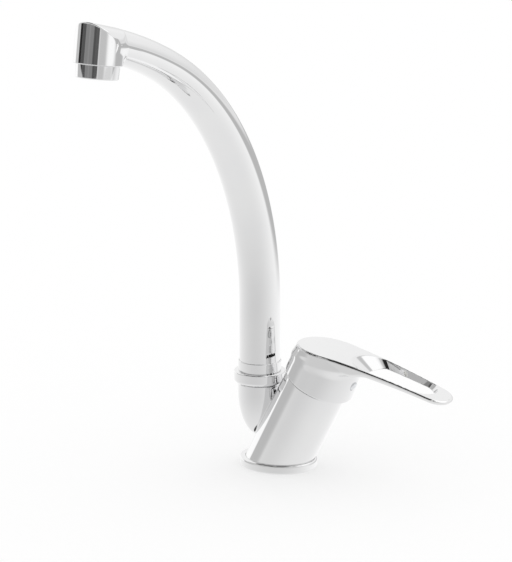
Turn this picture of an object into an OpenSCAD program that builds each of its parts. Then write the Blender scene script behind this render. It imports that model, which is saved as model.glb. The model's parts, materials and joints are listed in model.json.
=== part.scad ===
// High-spout single-lever basin mixer.
// The body leans over to the lever's side. An upright branch on its back carries a swivelling gooseneck spout.
// Frame: the origin is on the deck under the middle of the body's foot, Z is up, the body leans towards +X,
// and the spout rests pointing along -Y.
// Lengths marked with _l run along the leaning axis of the body, from the deck.

/* [Foot] */
// Height of the foot ring
foot_h = 6.2; // [5:0.1:9]
// How far the foot ring stands out past the body, along the lean
foot_out_x = 2.7; // [2.6:0.1:5]
// How far the foot ring stands out past the body, sideways
foot_out = 2.3; // [1.5:0.1:5]
// Shift of the foot ring towards the lever
foot_shift = 1.7; // [1.6:0.1:2.4]
// Chamfer on the foot ring's edges
foot_edge = 0.8; // [0.3:0.1:0.9]
// Thickness of the ring's floor under the body
foot_floor = 2; // [1.8:0.1:3]
// Inner radius of the deck opening in the foot ring
foot_hole_r = 17.3; // [16:0.1:17.8]
// Radial width of the deck seal
seal_w = 2.6; // [1.5:0.1:3]
// Thickness of the deck seal
seal_t = 1.2; // [0.8:0.1:1.4]

/* [Body] */
// Lean of the body from upright
lean = 27; // [18:0.5:32]
// Outer diameter of the body
body_d = 43; // [41:0.1:48]
// Length of the body along its axis, from the deck to the rim
body_len = 70; // [66:0.5:85]
// Diameter of the cartridge chamber
chamber_d = 35.2; // [33:0.1:37]
// Depth of the cartridge chamber
chamber_depth = 36; // [36:0.1:37]
// Diameter of the water ways in the casting
way_d = 6.8; // [5:0.1:7.4]
// Tapping diameter of the hose inlets, for an M10x1 thread
inlet_d = 9; // [8:0.1:10]
// Depth of the hose inlets
inlet_depth = 12; // [10:0.5:14]
// Distance of each hose inlet from the middle
inlet_y = 10; // [9:0.1:11]
// Tapping diameter of the fixing stud's hole, for an M8 thread
stud_d = 6.8; // [5:0.1:8]
// Depth of the fixing stud's hole
stud_depth = 14; // [10:0.5:16]

/* [Branch] */
// Distance of the spout's upright axis behind the foot's middle
branch_x = 13.4; // [13.2:0.1:17]
// Radius of the branch
branch_r = 14.6; // [14:0.1:16]
// Height of the branch's shoulder above the deck
branch_top = 55.5; // [54:0.5:62]
// Height of the rounded lower end of the branch
branch_bulb = 31; // [29:0.5:34]
// Height of the bulb's widest level below the shoulder
branch_straight = 6; // [4:0.5:9]
// Radius of the threaded neck above the shoulder
neck_r = 12.5; // [12:0.1:13]
// Height of the neck
neck_h = 2.5; // [2:0.1:4]
// Radius of the spout socket
socket_r = 9.08; // [8.6:0.01:9.6]
// Depth of the spout socket below the shoulder
socket_depth = 21.5; // [19:0.5:22]

/* [Swivel joint] */
// Outer radius of the swivel nut
nut_r = 17.3; // [16.5:0.1:18]
// Height of the swivel nut
nut_h = 8; // [7.6:0.1:10]
// Gap under the swivel nut
nut_gap = 0.5; // [0.3:0.1:0.8]
// Rounding of the swivel nut's outer edges
nut_round = 2.4; // [1:0.1:3]
// Thickness of each slip washer
washer_t = 1; // [0.8:0.1:1.3]
// Thickness of the spigot's flange
flange_t = 2; // [1.5:0.1:2.4]
// Running clearance of the spout in its socket
run_gap = 0.08; // [0.05:0.01:0.1]
// Axial clearance between the swivel parts
slip_gap = 0.05; // [0.03:0.01:0.1]
// Radius of the spigot's water way
spigot_way_r = 5.5; // [4:0.1:6]
// Section radius of the spigot's sealing rings
oring_r = 1.1; // [0.8:0.05:1.3]
// Spacing of the two sealing rings
oring_pitch = 6; // [4:0.5:7]

/* [Spout] */
// Outer radius of the spout tube
tube_r = 13.7; // [13.2:0.1:14.2]
// Wall of the spout tube
tube_wall = 1.3; // [1:0.1:1.6]
// Half height of the flattened tube at the outlet
tube_end_r = 10.7; // [9:0.1:12]
// Height at which the tube starts to bend, above the shoulder
bend_start = 53.4; // [40:0.5:80]
// Radius of the main bend
bend_r = 200; // [150:1:230]
// Angle of the main bend
bend_a = 65; // [60:1:66]
// Radius of the second, wider bend
bend2_r = 333; // [250:1:360]
// Angle of the second bend
bend2_a = 10; // [6:1:10]
// Length of the straight end, to the middle of the outlet head
end_len = 6.7; // [4:0.1:12]
// Height of the collar sleeve at the tube's foot
collar_h = 6.7; // [5:0.1:9]
// Outer radius of the collar sleeve
collar_r = 14.5; // [14.4:0.1:15.2]

/* [Outlet] */
// Outer radius of the outlet head
head_r = 15.3; // [14.6:0.05:16]
// Height of the outlet head under the tube's middle line
head_drop = 13.2; // [12:0.1:16]
// Outward tilt of the outlet head
head_tilt = 9; // [4:0.5:12]
// Radius of the aerator's seat in the head
aerator_seat_r = 12; // [11.6:0.05:12.6]
// Depth of the aerator's seat
aerator_seat = 9; // [8:0.1:10]
// Outer radius of the aerator's visible ring
aerator_r = 13.6; // [13:0.1:14.4]
// Height of the aerator's visible ring
aerator_h = 8.7; // [7:0.1:10]
// Wall of the aerator housing
aerator_wall = 1.2; // [0.9:0.1:1.4]
// Height of the aerator's insert
insert_h = 9; // [7:0.5:10]

/* [Cartridge] */
// Height of the pivot below the body's rim
pivot_drop = 14; // [13.5:0.1:14.5]
// Wall of the cartridge housing
cartridge_wall = 3.6; // [3:0.1:3.8]
// Thickness of the cartridge's base
base_t = 4.5; // [4:0.1:5]
// Thickness of the fixed ceramic disc
fixed_t = 2.5; // [2:0.1:2.8]
// Thickness of the moving ceramic disc
moving_t = 2.6; // [2:0.1:2.8]
// Radius of the rotating stem guide
guide_r = 12.5; // [12:0.1:12.8]
// Height of the stem guide
guide_h = 12; // [11:0.1:12]
// Diameter of the pivot pin
pin_d = 3; // [2.5:0.1:3.4]
// Width across the lever stem's flats
stem_w = 7.6; // [7:0.1:8]
// Distance from the pivot to the stem's ball
ball_drop = 8.8; // [8.6:0.1:8.9]
// Radius of the stem's ball
ball_r = 2.7; // [2.4:0.1:2.8]
// Full travel of the lever
lift_a = 25; // [15:1:25]
// Outer radius of the trim dome, a sphere about the pivot
dome_r = 25.4; // [25:0.1:25.5]
// Wall of the trim dome
dome_wall = 1.6; // [1.2:0.1:2]

/* [Handle] */
// Height of the handle's top above the body's rim, on the body's axis
handle_h = 28; // [27:0.5:32]
// How far the handle's top is raised from square to the body
handle_rise = 18; // [14:0.5:20]
// Radius of the top's gentle curve along the lever
top_curve_r = 625; // [500:5:900]
// Height of the skirt's lower edge over the body's rim
skirt_gap = 1.5; // [1:0.1:2]
// Radius of the skirt at its lower edge
skirt_r = 24.3; // [24.1:0.1:25]
// How far the skirt's lower edge sits forward of the body's axis
skirt_shift = 1.4; // [1:0.1:1.5]
// Wall of the skirt
skirt_wall = 1.5; // [1.4:0.1:1.6]
// Half length of the top over the hub
hub_x = 25.2; // [25:0.1:26]
// Half width of the top over the hub
hub_y = 19.4; // [19:0.1:20.5]
// Length of the lever from the hub's middle
lever_len = 91.7; // [85:0.5:110]
// Half width of the lever at its end
lever_w2 = 12.3; // [11.5:0.1:14]
// Thickness of the lever at its end
lever_t = 3.7; // [3.4:0.1:5]
// Thickness of the lever at the hub
lever_hub_t = 8.5; // [7:0.1:10]
// Middle of the round start of the lever's slot
slot_x1 = 32; // [31:0.5:34]
// Middle of the round end of the lever's slot
slot_x2 = 68; // [64:0.5:70]
// Width of the crest left on both sides of the slot
slot_rim = 1.3; // [1:0.1:2]
// How much narrower the slot is on the lever's underside, on each side
slot_draft = 4.8; // [3:0.1:5.5]
// Radius of the round plug over the set screw
plug_r = 3.1; // [2.6:0.1:3.4]
// Diameter of the set screw
screw_d = 5; // [4:0.5:5]
// Length of the set screw
screw_len = 6; // [5:0.5:8]

/* [Hidden] */
$fn = 96;

fit = 0.05;          // play between pieces that are pressed, screwed or seated together
far = 200;           // size of the blocks that cut a shape along a plane
tube_sides = 28;     // facets round the spout tube

body_r = body_d / 2;
chamber_r = chamber_d / 2;
way_r = way_d / 2;
floor_l = body_len - chamber_depth;
pivot_l = body_len - pivot_drop;
base_l = floor_l + base_t;
fixed_l = base_l + fixed_t;
moving_l = fixed_l + 0.02;
carrier_l = moving_l + moving_t;
guide_l = pivot_l - guide_h / 2;
disc_room_top_l = guide_l - 0.08;
carrier_t = disc_room_top_l - 0.08 - carrier_l;
guide_top_l = guide_l + guide_h;
housing_r = chamber_r - 0.1;
housing_top_l = guide_top_l + 2;
disc_room_r = housing_r - cartridge_wall;
throw = ball_drop * sin(lift_a / 2);
carrier_r = disc_room_r - throw - 0.25;
disc_r = carrier_r - 0.3;
port_front = 4.5;    // place of the two inlet ports, towards the lever
port_side = 8;       // sideways place of the two inlet ports
port_back = -9;      // place of the outlet port
PORTS = [[port_front, port_side], [port_front, -port_side], [port_back, 0]];
screen_t = 0.8;      // thickness of the aerator's screen
stem_top = 40;       // length of the lever stem above the pivot
screw_at = 33;       // height of the set screw along the stem, from the pivot
boss_start = dome_r + 1.2;

neck_top = branch_top + neck_h;
nut_z = branch_top + nut_gap;
nut_top = nut_z + nut_h;
spigot_flange_z = neck_top + washer_t + slip_gap;
upper_washer_z = spigot_flange_z + flange_t + slip_gap;
nut_lip_z = upper_washer_z + washer_t + slip_gap;
washer_in_r = socket_r + 0.3;
washer_out_r = neck_r - 0.3;
sleeve_z = nut_top + 0.3;
sleeve_floor = 0.7;  // thickness of the sleeve's floor, on which the tube stands
tube_z = sleeve_z + sleeve_floor;
spigot_r = socket_r - run_gap;
plug_in_r = (tube_r - tube_wall) * cos(180 / tube_sides) - 0.1;
socket_z = branch_top - socket_depth;
spigot_z = socket_z + 1;

head_tall = 2 * head_r;          // enough to pass through the head on either side of the tube
water_room_r = aerator_seat_r - 1.4;
mouth_r = aerator_seat_r - 1.2 - aerator_wall;
mouth_lip = 2;                   // height of the lip that carries the aerator's insert
insert_z = -head_drop - aerator_h + mouth_lip;
insert_r = aerator_seat_r - aerator_wall - fit;

ellipse_x = body_r / cos(lean) + foot_out_x;
ellipse_y = body_r + foot_out;

// The tube's middle line in its own upright plane: a straight, two bends and a straight end.
bend_z = branch_top + bend_start;
total_a = bend_a + bend2_a;
bend1_end = [bend_r * (1 - cos(bend_a)), bend_z + bend_r * sin(bend_a)];
bend2_end = bend1_end + bend2_r * [cos(bend_a) - cos(total_a), sin(total_a) - sin(bend_a)];
head_at = bend2_end + end_len * [sin(total_a), cos(total_a)];

function smooth(x) = let (t = min(1, max(0, x))) t * t * (3 - 2 * t);
function half_height(a) = tube_r - (tube_r - tube_end_r) * smooth((a - 22) / (total_a - 22));
function on_line(a) = a <= 0 ? [0, bend_z]
    : a <= bend_a ? [bend_r * (1 - cos(a)), bend_z + bend_r * sin(a)]
    : bend1_end + bend2_r * [cos(bend_a) - cos(a), sin(a) - sin(bend_a)];

// Stations along the tube: reach, height, turn and half height.
STATIONS = [for (k = [0:2]) [0, tube_z + (bend_z - tube_z) * k / 3, 0, tube_r],
    for (k = [0:18]) let (a = bend_a * k / 18, p = on_line(a)) [p.x, p.y, a, half_height(a)],
    for (k = [1:3]) let (a = bend_a + bend2_a * k / 3, p = on_line(a)) [p.x, p.y, a, half_height(a)],
    [head_at.x, head_at.y, total_a, tube_end_r]];

function station_ring(s, inset) = [for (i = [0:tube_sides - 1]) let (w = 360 * i / tube_sides,
    side = (tube_r - inset) * cos(w), up = (s[3] - inset) * sin(w))
    [-branch_x + side, -(s[0] - up * cos(s[2])), s[1] + up * sin(s[2])]];

function arc(cx, cy, r, a0, a1, n) = [for (k = [0:n]) let (a = a0 + (a1 - a0) * k / n)
    [cx + r * cos(a), cy + r * sin(a)]];
function ellipse(a, b, n) = [for (k = [0:n - 1]) [a * cos(360 * k / n), b * sin(360 * k / n)]];

// Plan of the lever: an oval hub, two straight flanks and a round end.
flank_a = asin((hub_y - lever_w2) / (lever_len - lever_w2));
lever_plan = concat([for (a = [90 - flank_a:6:270 + flank_a]) [hub_x * cos(a), hub_y * sin(a)]],
    arc(lever_len - lever_w2, 0, lever_w2, flank_a - 90, 90 - flank_a, 16));

// How far the curved top lies under its tangent plane at the hub's middle.
function sag(x) = x * x / (2 * top_curve_r);

// Side view of the lever, seen along its width: the curved top, and an underside that thins towards the end.
top_line = [for (x = [-40:8:lever_len + 12]) [x, -sag(x)]];
under_line = [for (p = [[lever_len + 12, lever_t - 0.2], [lever_len, lever_t], [50, lever_t + 1], [38, lever_t + 1.3],
    [30, lever_t + 2.6], [22, lever_hub_t], [0, lever_hub_t], [-40, lever_hub_t]]) [p.x, -p.y - sag(p.x)]];
lever_side = concat(top_line, under_line);

// The slot through the lever: a long opening with round ends that narrows from the top to the underside.
function half_width(x) = hub_y - (hub_y - lever_w2) * x / (lever_len - lever_w2);
slot_r1 = half_width(slot_x1) - slot_rim;
slot_r2 = half_width(slot_x2) - slot_rim;
slot_low_x1 = slot_x1 + 7.5;
slot_low_x2 = slot_x2 - 1.5;
function slot_ring(x1, r1, x2, r2, depth) = [for (p = concat(arc(x1, 0, r1, 95, 265, 14), arc(x2, 0, r2, -85, 85, 14)))
    [p.x, p.y, -depth - sag(p.x)]];

module lean_frame() {
    rotate([0, lean, 0]) children();
}

module pivot_frame() {
    lean_frame() translate([0, 0, pivot_l]) children();
}

module stem_frame() {
    pivot_frame() rotate([0, lift_a / 2, 0]) children();
}

module top_frame() {
    lean_frame() translate([0, 0, body_len + handle_h]) rotate([0, -handle_rise, 0]) children();
}

module spout_axis() {
    translate([-branch_x, 0, 0]) children();
}

// Frame in the middle of the outlet head, with its axis along Z.
module head_frame() {
    translate([-branch_x, -head_at.x, head_at.y]) rotate([-head_tilt, 0, 0]) children();
}

module arm_frame() {
    translate([-branch_x, -head_at.x, head_at.y]) rotate([total_a - 90, 0, 0]) children();
}

module ring(r_out, r_in, h) {
    difference() {
        cylinder(h = h, r = r_out);
        translate([0, 0, -1]) cylinder(h = h + 2, r = r_in);
    }
}

// Straight round passage between two points
module passage(from, to, r) {
    v = to - from;
    translate(from)
        rotate([0, acos(v.z / norm(v)), atan2(v.y, v.x)])
            cylinder(h = norm(v), r = r);
}

// A point given along the body's axis, towards the lever and sideways, in the deck's frame
function lean_point(l, p, y) = [l * sin(lean) + p * cos(lean), y, l * cos(lean) - p * sin(lean)];

module leaning_bar(r, top) {
    lean_frame() translate([0, 0, -40]) cylinder(h = 40 + top, r = r);
}

module branch_outer() {
    widest = branch_top - branch_straight;
    spout_axis() rotate_extrude()
        polygon(concat([[0, branch_top], [branch_r, branch_top]],
            [for (k = [0:10]) let (a = 9 * k) [branch_r * cos(a), widest - branch_bulb * sin(a)]]));
}

module mixer_body() {
    color([0.86, 0.87, 0.88]) difference() {
        union() {
            intersection() {
                leaning_bar(body_r, body_len);
                translate([-far / 2, -far / 2, foot_floor]) cube(far);
            }
            branch_outer();
            spout_axis() translate([0, 0, branch_top - 1]) cylinder(h = neck_h + 1, r = neck_r);
        }
        lean_frame() translate([0, 0, floor_l]) cylinder(h = chamber_depth + 1, r = chamber_r);
        spout_axis() translate([0, 0, socket_z]) cylinder(h = socket_depth + neck_h + 1, r = socket_r);
        spout_axis() translate([0, 0, socket_z - 6]) cylinder(h = 7, r = 5);
        passage(lean_point(floor_l + 1, port_back, 0), [-branch_x, 0, socket_z - 4], way_r);
        for (side = [-1, 1]) {
            translate([0, side * inlet_y, foot_floor - 1]) cylinder(h = inlet_depth + 1, d = inlet_d);
            passage([0, side * inlet_y, foot_floor + inlet_depth - 2],
                lean_point(floor_l + 1, port_front, side * port_side), way_r);
        }
        translate([0, 0, foot_floor - 1]) cylinder(h = stud_depth + 1, d = stud_d);
    }
}

module foot_outline(inset) {
    translate([foot_shift, 0]) polygon(ellipse(ellipse_x - inset, ellipse_y - inset, 72));
}

module foot_ring() {
    color([0.84, 0.85, 0.86]) difference() {
        union() {
            linear_extrude(foot_h) foot_outline(foot_edge);
            translate([0, 0, foot_edge / 2]) linear_extrude(foot_h - foot_edge) foot_outline(foot_edge / 2);
            translate([0, 0, foot_edge]) linear_extrude(foot_h - 2 * foot_edge) foot_outline(0);
        }
        intersection() {
            leaning_bar(body_r + fit, body_len);
            translate([-far / 2, -far / 2, foot_floor]) cube(far);
        }
        translate([0, 0, -1]) cylinder(h = foot_h, r = foot_hole_r);
        translate([0, 0, -1]) ring(foot_hole_r + 0.6 + seal_w, foot_hole_r + 0.6, seal_t + 1);
    }
}

module deck_seal() {
    color([0.13, 0.13, 0.14]) ring(foot_hole_r + 0.6 + seal_w - fit, foot_hole_r + 0.6 + fit, seal_t);
}

module swivel_nut() {
    r = nut_round;
    color([0.88, 0.89, 0.9]) spout_axis() rotate_extrude()
        polygon(concat([[neck_r + fit, nut_z]],
            arc(nut_r - r, nut_z + r, r, -90, 0, 6),
            arc(nut_r - r, nut_top - r, r, 0, 90, 6),
            [[spigot_r + 1.4, nut_top], [spigot_r + 1.4, nut_lip_z], [neck_r + fit, nut_lip_z]]));
}

module slip_washer(z) {
    color([0.93, 0.93, 0.9]) spout_axis() translate([0, 0, z]) ring(washer_out_r, washer_in_r + 1.2, washer_t);
}

module lower_slip_washer() {
    color([0.93, 0.93, 0.9]) spout_axis() translate([0, 0, neck_top]) ring(washer_out_r, washer_in_r, washer_t);
}

module upper_slip_washer() {
    slip_washer(nut_lip_z - washer_t);
}

module cartridge_housing() {
    color([0.2, 0.35, 0.65]) lean_frame() difference() {
        translate([0, 0, base_l]) cylinder(h = housing_top_l - base_l, r = housing_r);
        translate([0, 0, base_l - 1]) cylinder(h = disc_room_top_l - base_l + 1, r = disc_room_r);
        translate([0, 0, base_l]) cylinder(h = guide_top_l - base_l + fit, r = guide_r + run_gap);
        translate([0, 0, base_l]) cylinder(h = far, r = guide_r - 1);
    }
}

module cartridge_base() {
    color([0.25, 0.4, 0.68]) lean_frame() difference() {
        translate([0, 0, floor_l]) cylinder(h = base_t, r = housing_r);
        for (p = PORTS) {
            translate([p.x, p.y, floor_l - 1]) cylinder(h = base_t + 2, r = way_r);
            translate([p.x, p.y, floor_l - 1]) cylinder(h = 2, r = way_r + 1.5);
        }
    }
}

module port_seals() {
    color([0.1, 0.1, 0.11]) lean_frame()
        for (p = PORTS) translate([p.x, p.y, floor_l]) ring(way_r + 1.5 - fit, way_r, 1);
}

module fixed_ceramic_disc() {
    color([0.95, 0.94, 0.9]) lean_frame() difference() {
        translate([0, 0, base_l]) cylinder(h = fixed_t, r = disc_room_r - fit);
        for (p = PORTS) translate([p.x, p.y, base_l - 1]) cylinder(h = fixed_t + 2, r = way_r - 0.4);
    }
}

module retaining_nut() {
    color([0.78, 0.66, 0.38]) lean_frame() difference() {
        translate([0, 0, housing_top_l]) cylinder(h = body_len - 0.5 - housing_top_l, r = chamber_r - fit);
        translate([0, 0, housing_top_l - 1]) cylinder(h = far, r = guide_r);
    }
}

module trim_dome() {
    color([0.86, 0.87, 0.88]) difference() {
        pivot_frame() sphere(r = dome_r);
        pivot_frame() sphere(r = dome_r - dome_wall);
        lean_frame() translate([-far / 2, -far / 2, body_len - far]) cube(far);
        pivot_frame() cylinder(h = far, r = guide_r);
    }
}

module stem_guide() {
    slot_l = stem_w + 4.4;
    color([0.9, 0.9, 0.88]) difference() {
        lean_frame() translate([0, 0, guide_l]) cylinder(h = guide_h, r = guide_r);
        pivot_frame() translate([-slot_l / 2, -stem_w / 2 - 0.3, -far / 2]) cube([slot_l, stem_w + 0.6, far]);
        pivot_frame() rotate([90, 0, 0]) translate([0, 0, -far / 2]) cylinder(h = far, d = pin_d + 0.02);
    }
}

module stem_pin() {
    pin_len = 2 * guide_r - 2;
    color([0.7, 0.71, 0.72]) pivot_frame() rotate([90, 0, 0])
        translate([0, 0, -pin_len / 2]) cylinder(h = pin_len, d = pin_d);
}

module lever_stem() {
    neck = 3.6;
    color([0.8, 0.8, 0.8]) stem_frame() difference() {
        union() {
            translate([-stem_w / 2, -stem_w / 2, 0]) cube([stem_w, stem_w, stem_top]);
            rotate([90, 0, 0]) translate([0, 0, -stem_w / 2]) cylinder(h = stem_w, r = neck);
            translate([0, 0, -ball_drop]) cylinder(h = ball_drop, r = 2);
            translate([0, 0, -ball_drop]) sphere(r = ball_r);
        }
        rotate([90, 0, 0]) translate([0, 0, -far / 2]) cylinder(h = far, d = pin_d + 0.12);
    }
}

module disc_carrier() {
    color([0.3, 0.3, 0.32]) lean_frame() translate([-throw, 0, 0]) difference() {
        translate([0, 0, carrier_l]) cylinder(h = carrier_t, r = carrier_r);
        translate([0, 0, carrier_l + 0.6]) cylinder(h = carrier_t, r = ball_r + 0.12);
    }
}

module moving_ceramic_disc() {
    color([0.96, 0.95, 0.92]) lean_frame() translate([-throw, 0, 0]) difference() {
        translate([0, 0, moving_l]) cylinder(h = moving_t, r = disc_r);
        translate([0, 0, moving_l - 1]) cylinder(h = 2.2, r = disc_r - 3.4);
    }
}

// The skirt with its front lobe, tapering upwards: grow is negative for the hollow inside it
module skirt_form(grow, bottom) {
    lean_frame() hull() {
        translate([skirt_shift, 0, bottom]) cylinder(h = 0.5, r = skirt_r + grow, $fn = 48);
        translate([0, 0, body_len + handle_h]) linear_extrude(12)
            polygon(ellipse(hub_x * cos(handle_rise) + grow, hub_y + grow, 48));
    }
}

module lever_blank() {
    intersection() {
        top_frame() translate([0, 0, -far / 2]) linear_extrude(far) polygon(lever_plan);
        top_frame() rotate([90, 0, 0]) translate([0, 0, -far / 2]) linear_extrude(far) polygon(lever_side);
    }
}

// The slot's room, a little taller than the lever on both sides.
module slot_room() {
    low = slot_ring(slot_low_x1, slot_r1 - slot_draft, slot_low_x2, slot_r2 - slot_draft / 2, lever_t + 1.6);
    high = slot_ring(slot_x1, slot_r1 + 0.4, slot_x2, slot_r2 + 0.2, -0.6);
    n = len(low);
    top_frame() polyhedron(points = concat(low, high), faces = concat(
        [for (i = [0:n - 1]) let (j = (i + 1) % n) each [[i, n + j, j], [i, n + i, n + j]]],
        [for (i = [1:n - 2]) [0, i, i + 1]],
        [for (i = [1:n - 2]) [n, n + i + 1, n + i]]), convexity = 4);
}

module lever_handle() {
    skirt_start = body_len + skirt_gap;
    color([0.88, 0.89, 0.9]) difference() {
        intersection() {
            union() {
                difference() {
                    skirt_form(0, skirt_start);
                    intersection() {
                        skirt_form(-skirt_wall, skirt_start - 0.4);
                        lean_frame() translate([-far / 2, -far / 2, 0]) cube([far, far, body_len + handle_h - 9]);
                    }
                }
                lever_blank();
                intersection() {
                    stem_frame() translate([0, 0, boss_start]) cylinder(h = stem_top + 4 - boss_start, r = 8.5);
                    skirt_form(-1, skirt_start);
                }
            }
            top_frame() rotate([90, 0, 0]) translate([0, 0, -far / 2]) linear_extrude(far)
                polygon(concat(top_line, [[lever_len + 12, -far / 2], [-40, -far / 2]]));
        }
        slot_room();
        stem_frame() translate([-stem_w / 2 - fit, -stem_w / 2 - fit, boss_start - 1])
            cube([stem_w + 2 * fit, stem_w + 2 * fit, stem_top - boss_start + 1.2]);
        stem_frame() translate([0, 0, screw_at]) rotate([0, 90, 0]) cylinder(h = 12, d = screw_d + 2 * fit);
        stem_frame() translate([stem_w / 2 + screw_len + 1, 0, screw_at]) rotate([0, 90, 0])
            cylinder(h = 40, r = plug_r);
    }
}

module set_screw() {
    color([0.3, 0.3, 0.32]) stem_frame() translate([stem_w / 2 + fit, 0, screw_at]) rotate([0, 90, 0]) difference() {
        cylinder(h = screw_len, d = screw_d);
        translate([0, 0, screw_len - 2.5]) cylinder(h = 3, d = screw_d / 2, $fn = 6);
    }
}

module index_plug() {
    plug_l = 3.4;
    plug_in = 15;    // distance of the plug's inner end from the stem's axis
    color([0.8, 0.81, 0.83]) intersection() {
        stem_frame() translate([0, 0, screw_at]) rotate([0, 90, 0]) translate([0, 0, plug_in]) union() {
            cylinder(h = plug_l, r = plug_r - fit);
            translate([0, 0, plug_l - 3]) sphere(r = plug_r + 1);
        }
        stem_frame() translate([plug_in, 0, screw_at]) rotate([0, 90, 0]) cylinder(h = far, r = plug_r - fit);
    }
}

// Tube wall swept along the middle line: outer rings, then inner rings, closed at both ends
module spout_tube() {
    n = tube_sides;
    m = len(STATIONS);
    outer = [for (s = STATIONS) each station_ring(s, 0)];
    inner = [for (s = STATIONS) each station_ring(s, tube_wall)];
    shift = n * m;
    faces = concat(
        [for (k = [0:m - 2]) for (i = [0:n - 1]) let (j = (i + 1) % n)
            each [[k * n + i, k * n + j, (k + 1) * n + j], [k * n + i, (k + 1) * n + j, (k + 1) * n + i]]],
        [for (k = [0:m - 2]) for (i = [0:n - 1]) let (j = (i + 1) % n)
            each [[shift + k * n + i, shift + (k + 1) * n + j, shift + k * n + j],
                [shift + k * n + i, shift + (k + 1) * n + i, shift + (k + 1) * n + j]]],
        [for (i = [0:n - 1]) let (j = (i + 1) % n)
            each [[i, shift + i, shift + j], [i, shift + j, j]]],
        [for (i = [0:n - 1]) let (j = (i + 1) % n, e = (m - 1) * n)
            each [[e + i, shift + e + j, shift + e + i], [e + i, e + j, shift + e + j]]]);
    color([0.87, 0.88, 0.89]) difference() {
        polyhedron(points = concat(outer, inner), faces = faces, convexity = 6);
        head_frame() translate([0, 0, -head_tall]) cylinder(h = 2 * head_tall, r = head_r);
    }
}

module outlet_head() {
    color([0.87, 0.88, 0.89]) difference() {
        intersection() {
            head_frame() translate([0, 0, -head_drop]) cylinder(h = 2 * head_tall, r = head_r);
            union() {
                arm_frame() rotate([90, 0, 0]) translate([0, 0, -head_tall]) linear_extrude(2 * head_tall)
                    polygon(ellipse(head_r + 0.25, tube_end_r, 48));
                arm_frame() translate([-far / 2, -far / 2, -far]) cube(far);
            }
        }
        head_frame() translate([0, 0, -head_drop - 1]) cylinder(h = aerator_seat + 1, r = aerator_seat_r);
        head_frame() translate([0, 0, -head_drop]) cylinder(h = head_drop + 4, r = water_room_r);
        arm_frame() rotate([-90, 0, 0]) cylinder(h = head_tall, r = tube_end_r - 2.4);
    }
}

module spout_spigot() {
    groove_z = spigot_z + 3;
    color([0.78, 0.66, 0.38]) spout_axis() difference() {
        union() {
            translate([0, 0, spigot_z]) cylinder(h = tube_z - spigot_z, r = spigot_r);
            translate([0, 0, spigot_flange_z]) cylinder(h = flange_t, r = washer_out_r);
            translate([0, 0, spigot_flange_z]) cylinder(h = sleeve_z + sleeve_floor - spigot_flange_z,
                r = spigot_r + 1.3);
            translate([0, 0, sleeve_z]) cylinder(h = 14, r = plug_in_r);
        }
        translate([0, 0, spigot_z - 1]) cylinder(h = far, r = spigot_way_r);
        for (k = [0, 1]) translate([0, 0, groove_z + k * oring_pitch - oring_r - fit])
            ring(spigot_r + 1, spigot_r - 2 * oring_r - fit, 2 * (oring_r + fit));
    }
}

module spigot_seals() {
    groove_z = spigot_z + 3;
    color([0.1, 0.1, 0.11]) spout_axis() for (k = [0, 1]) translate([0, 0, groove_z + k * oring_pitch])
        rotate_extrude() translate([spigot_r - oring_r, 0]) circle(r = oring_r, $fn = 48);
}

module collar_sleeve() {
    color([0.88, 0.89, 0.9]) spout_axis() difference() {
        translate([0, 0, sleeve_z]) cylinder(h = collar_h, r = collar_r);
        translate([0, 0, tube_z]) cylinder(h = collar_h, r = tube_r + fit);
        translate([0, 0, sleeve_z - 1]) cylinder(h = collar_h, r = plug_in_r + fit);
    }
}

module aerator_housing() {
    color([0.85, 0.86, 0.87]) head_frame() translate([0, 0, -head_drop]) difference() {
        union() {
            translate([0, 0, -aerator_h]) cylinder(h = aerator_h - fit, r = aerator_r);
            translate([0, 0, -1]) cylinder(h = aerator_seat - 2, r = aerator_seat_r - fit);
        }
        translate([0, 0, -aerator_h - 1]) cylinder(h = aerator_h + aerator_seat, r = mouth_r);
        translate([0, 0, -aerator_h + mouth_lip]) cylinder(h = aerator_h + aerator_seat, r = insert_r + fit);
    }
}

module aerator_insert() {
    jet_r = insert_r * 0.155;
    color([0.92, 0.92, 0.9]) head_frame() translate([0, 0, insert_z]) difference() {
        cylinder(h = insert_h, r = insert_r);
        translate([0, 0, mouth_lip]) cylinder(h = insert_h, r = insert_r - 1.2);
        for (a = [0:60:300]) rotate(a) translate([insert_r / 2, 0, -1]) cylinder(h = insert_h, r = jet_r);
        translate([0, 0, -1]) cylinder(h = insert_h, r = jet_r);
    }
}

module aerator_screen() {
    hole_pitch = insert_r * 0.31;
    color([0.7, 0.71, 0.73]) head_frame() translate([0, 0, insert_z + insert_h]) difference() {
        cylinder(h = screen_t, r = insert_r);
        for (k = [1, 2]) for (a = [0:60 / k:359]) rotate(a) translate([k * hole_pitch, 0, -1])
            cylinder(h = screen_t + 2, r = hole_pitch * 0.28);
    }
}

module aerator_washer() {
    color([0.1, 0.1, 0.11]) head_frame() translate([0, 0, -head_drop + aerator_seat - 3])
        ring(aerator_seat_r - fit, aerator_seat_r - 2.6, 3);
}

mixer_body();
foot_ring();
deck_seal();
swivel_nut();
lower_slip_washer();
upper_slip_washer();
cartridge_housing();
cartridge_base();
port_seals();
fixed_ceramic_disc();
retaining_nut();
trim_dome();
stem_guide();
stem_pin();
lever_handle();
lever_stem();
set_screw();
index_plug();
disc_carrier();
moving_ceramic_disc();
spout_tube();
outlet_head();
spout_spigot();
collar_sleeve();
spigot_seals();
aerator_housing();
aerator_insert();
aerator_screen();
aerator_washer();
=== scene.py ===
"""Looks of a high-spout single-lever basin mixer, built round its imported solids.

Lengths in the classes are millimetres and angles are degrees. The frame is that of the solids: the origin is on the
deck under the middle of the foot, Z is up, the body leans towards +X and the spout rests pointing along -Y.
"""

import json  # noqa: E402
import logging  # noqa: E402
import math  # noqa: E402
from collections.abc import Callable, Sequence  # noqa: E402
from dataclasses import dataclass  # noqa: E402
from enum import Enum  # noqa: E402

import bpy  # noqa: E402
import numpy as np  # noqa: E402
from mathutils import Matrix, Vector  # noqa: E402

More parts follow.
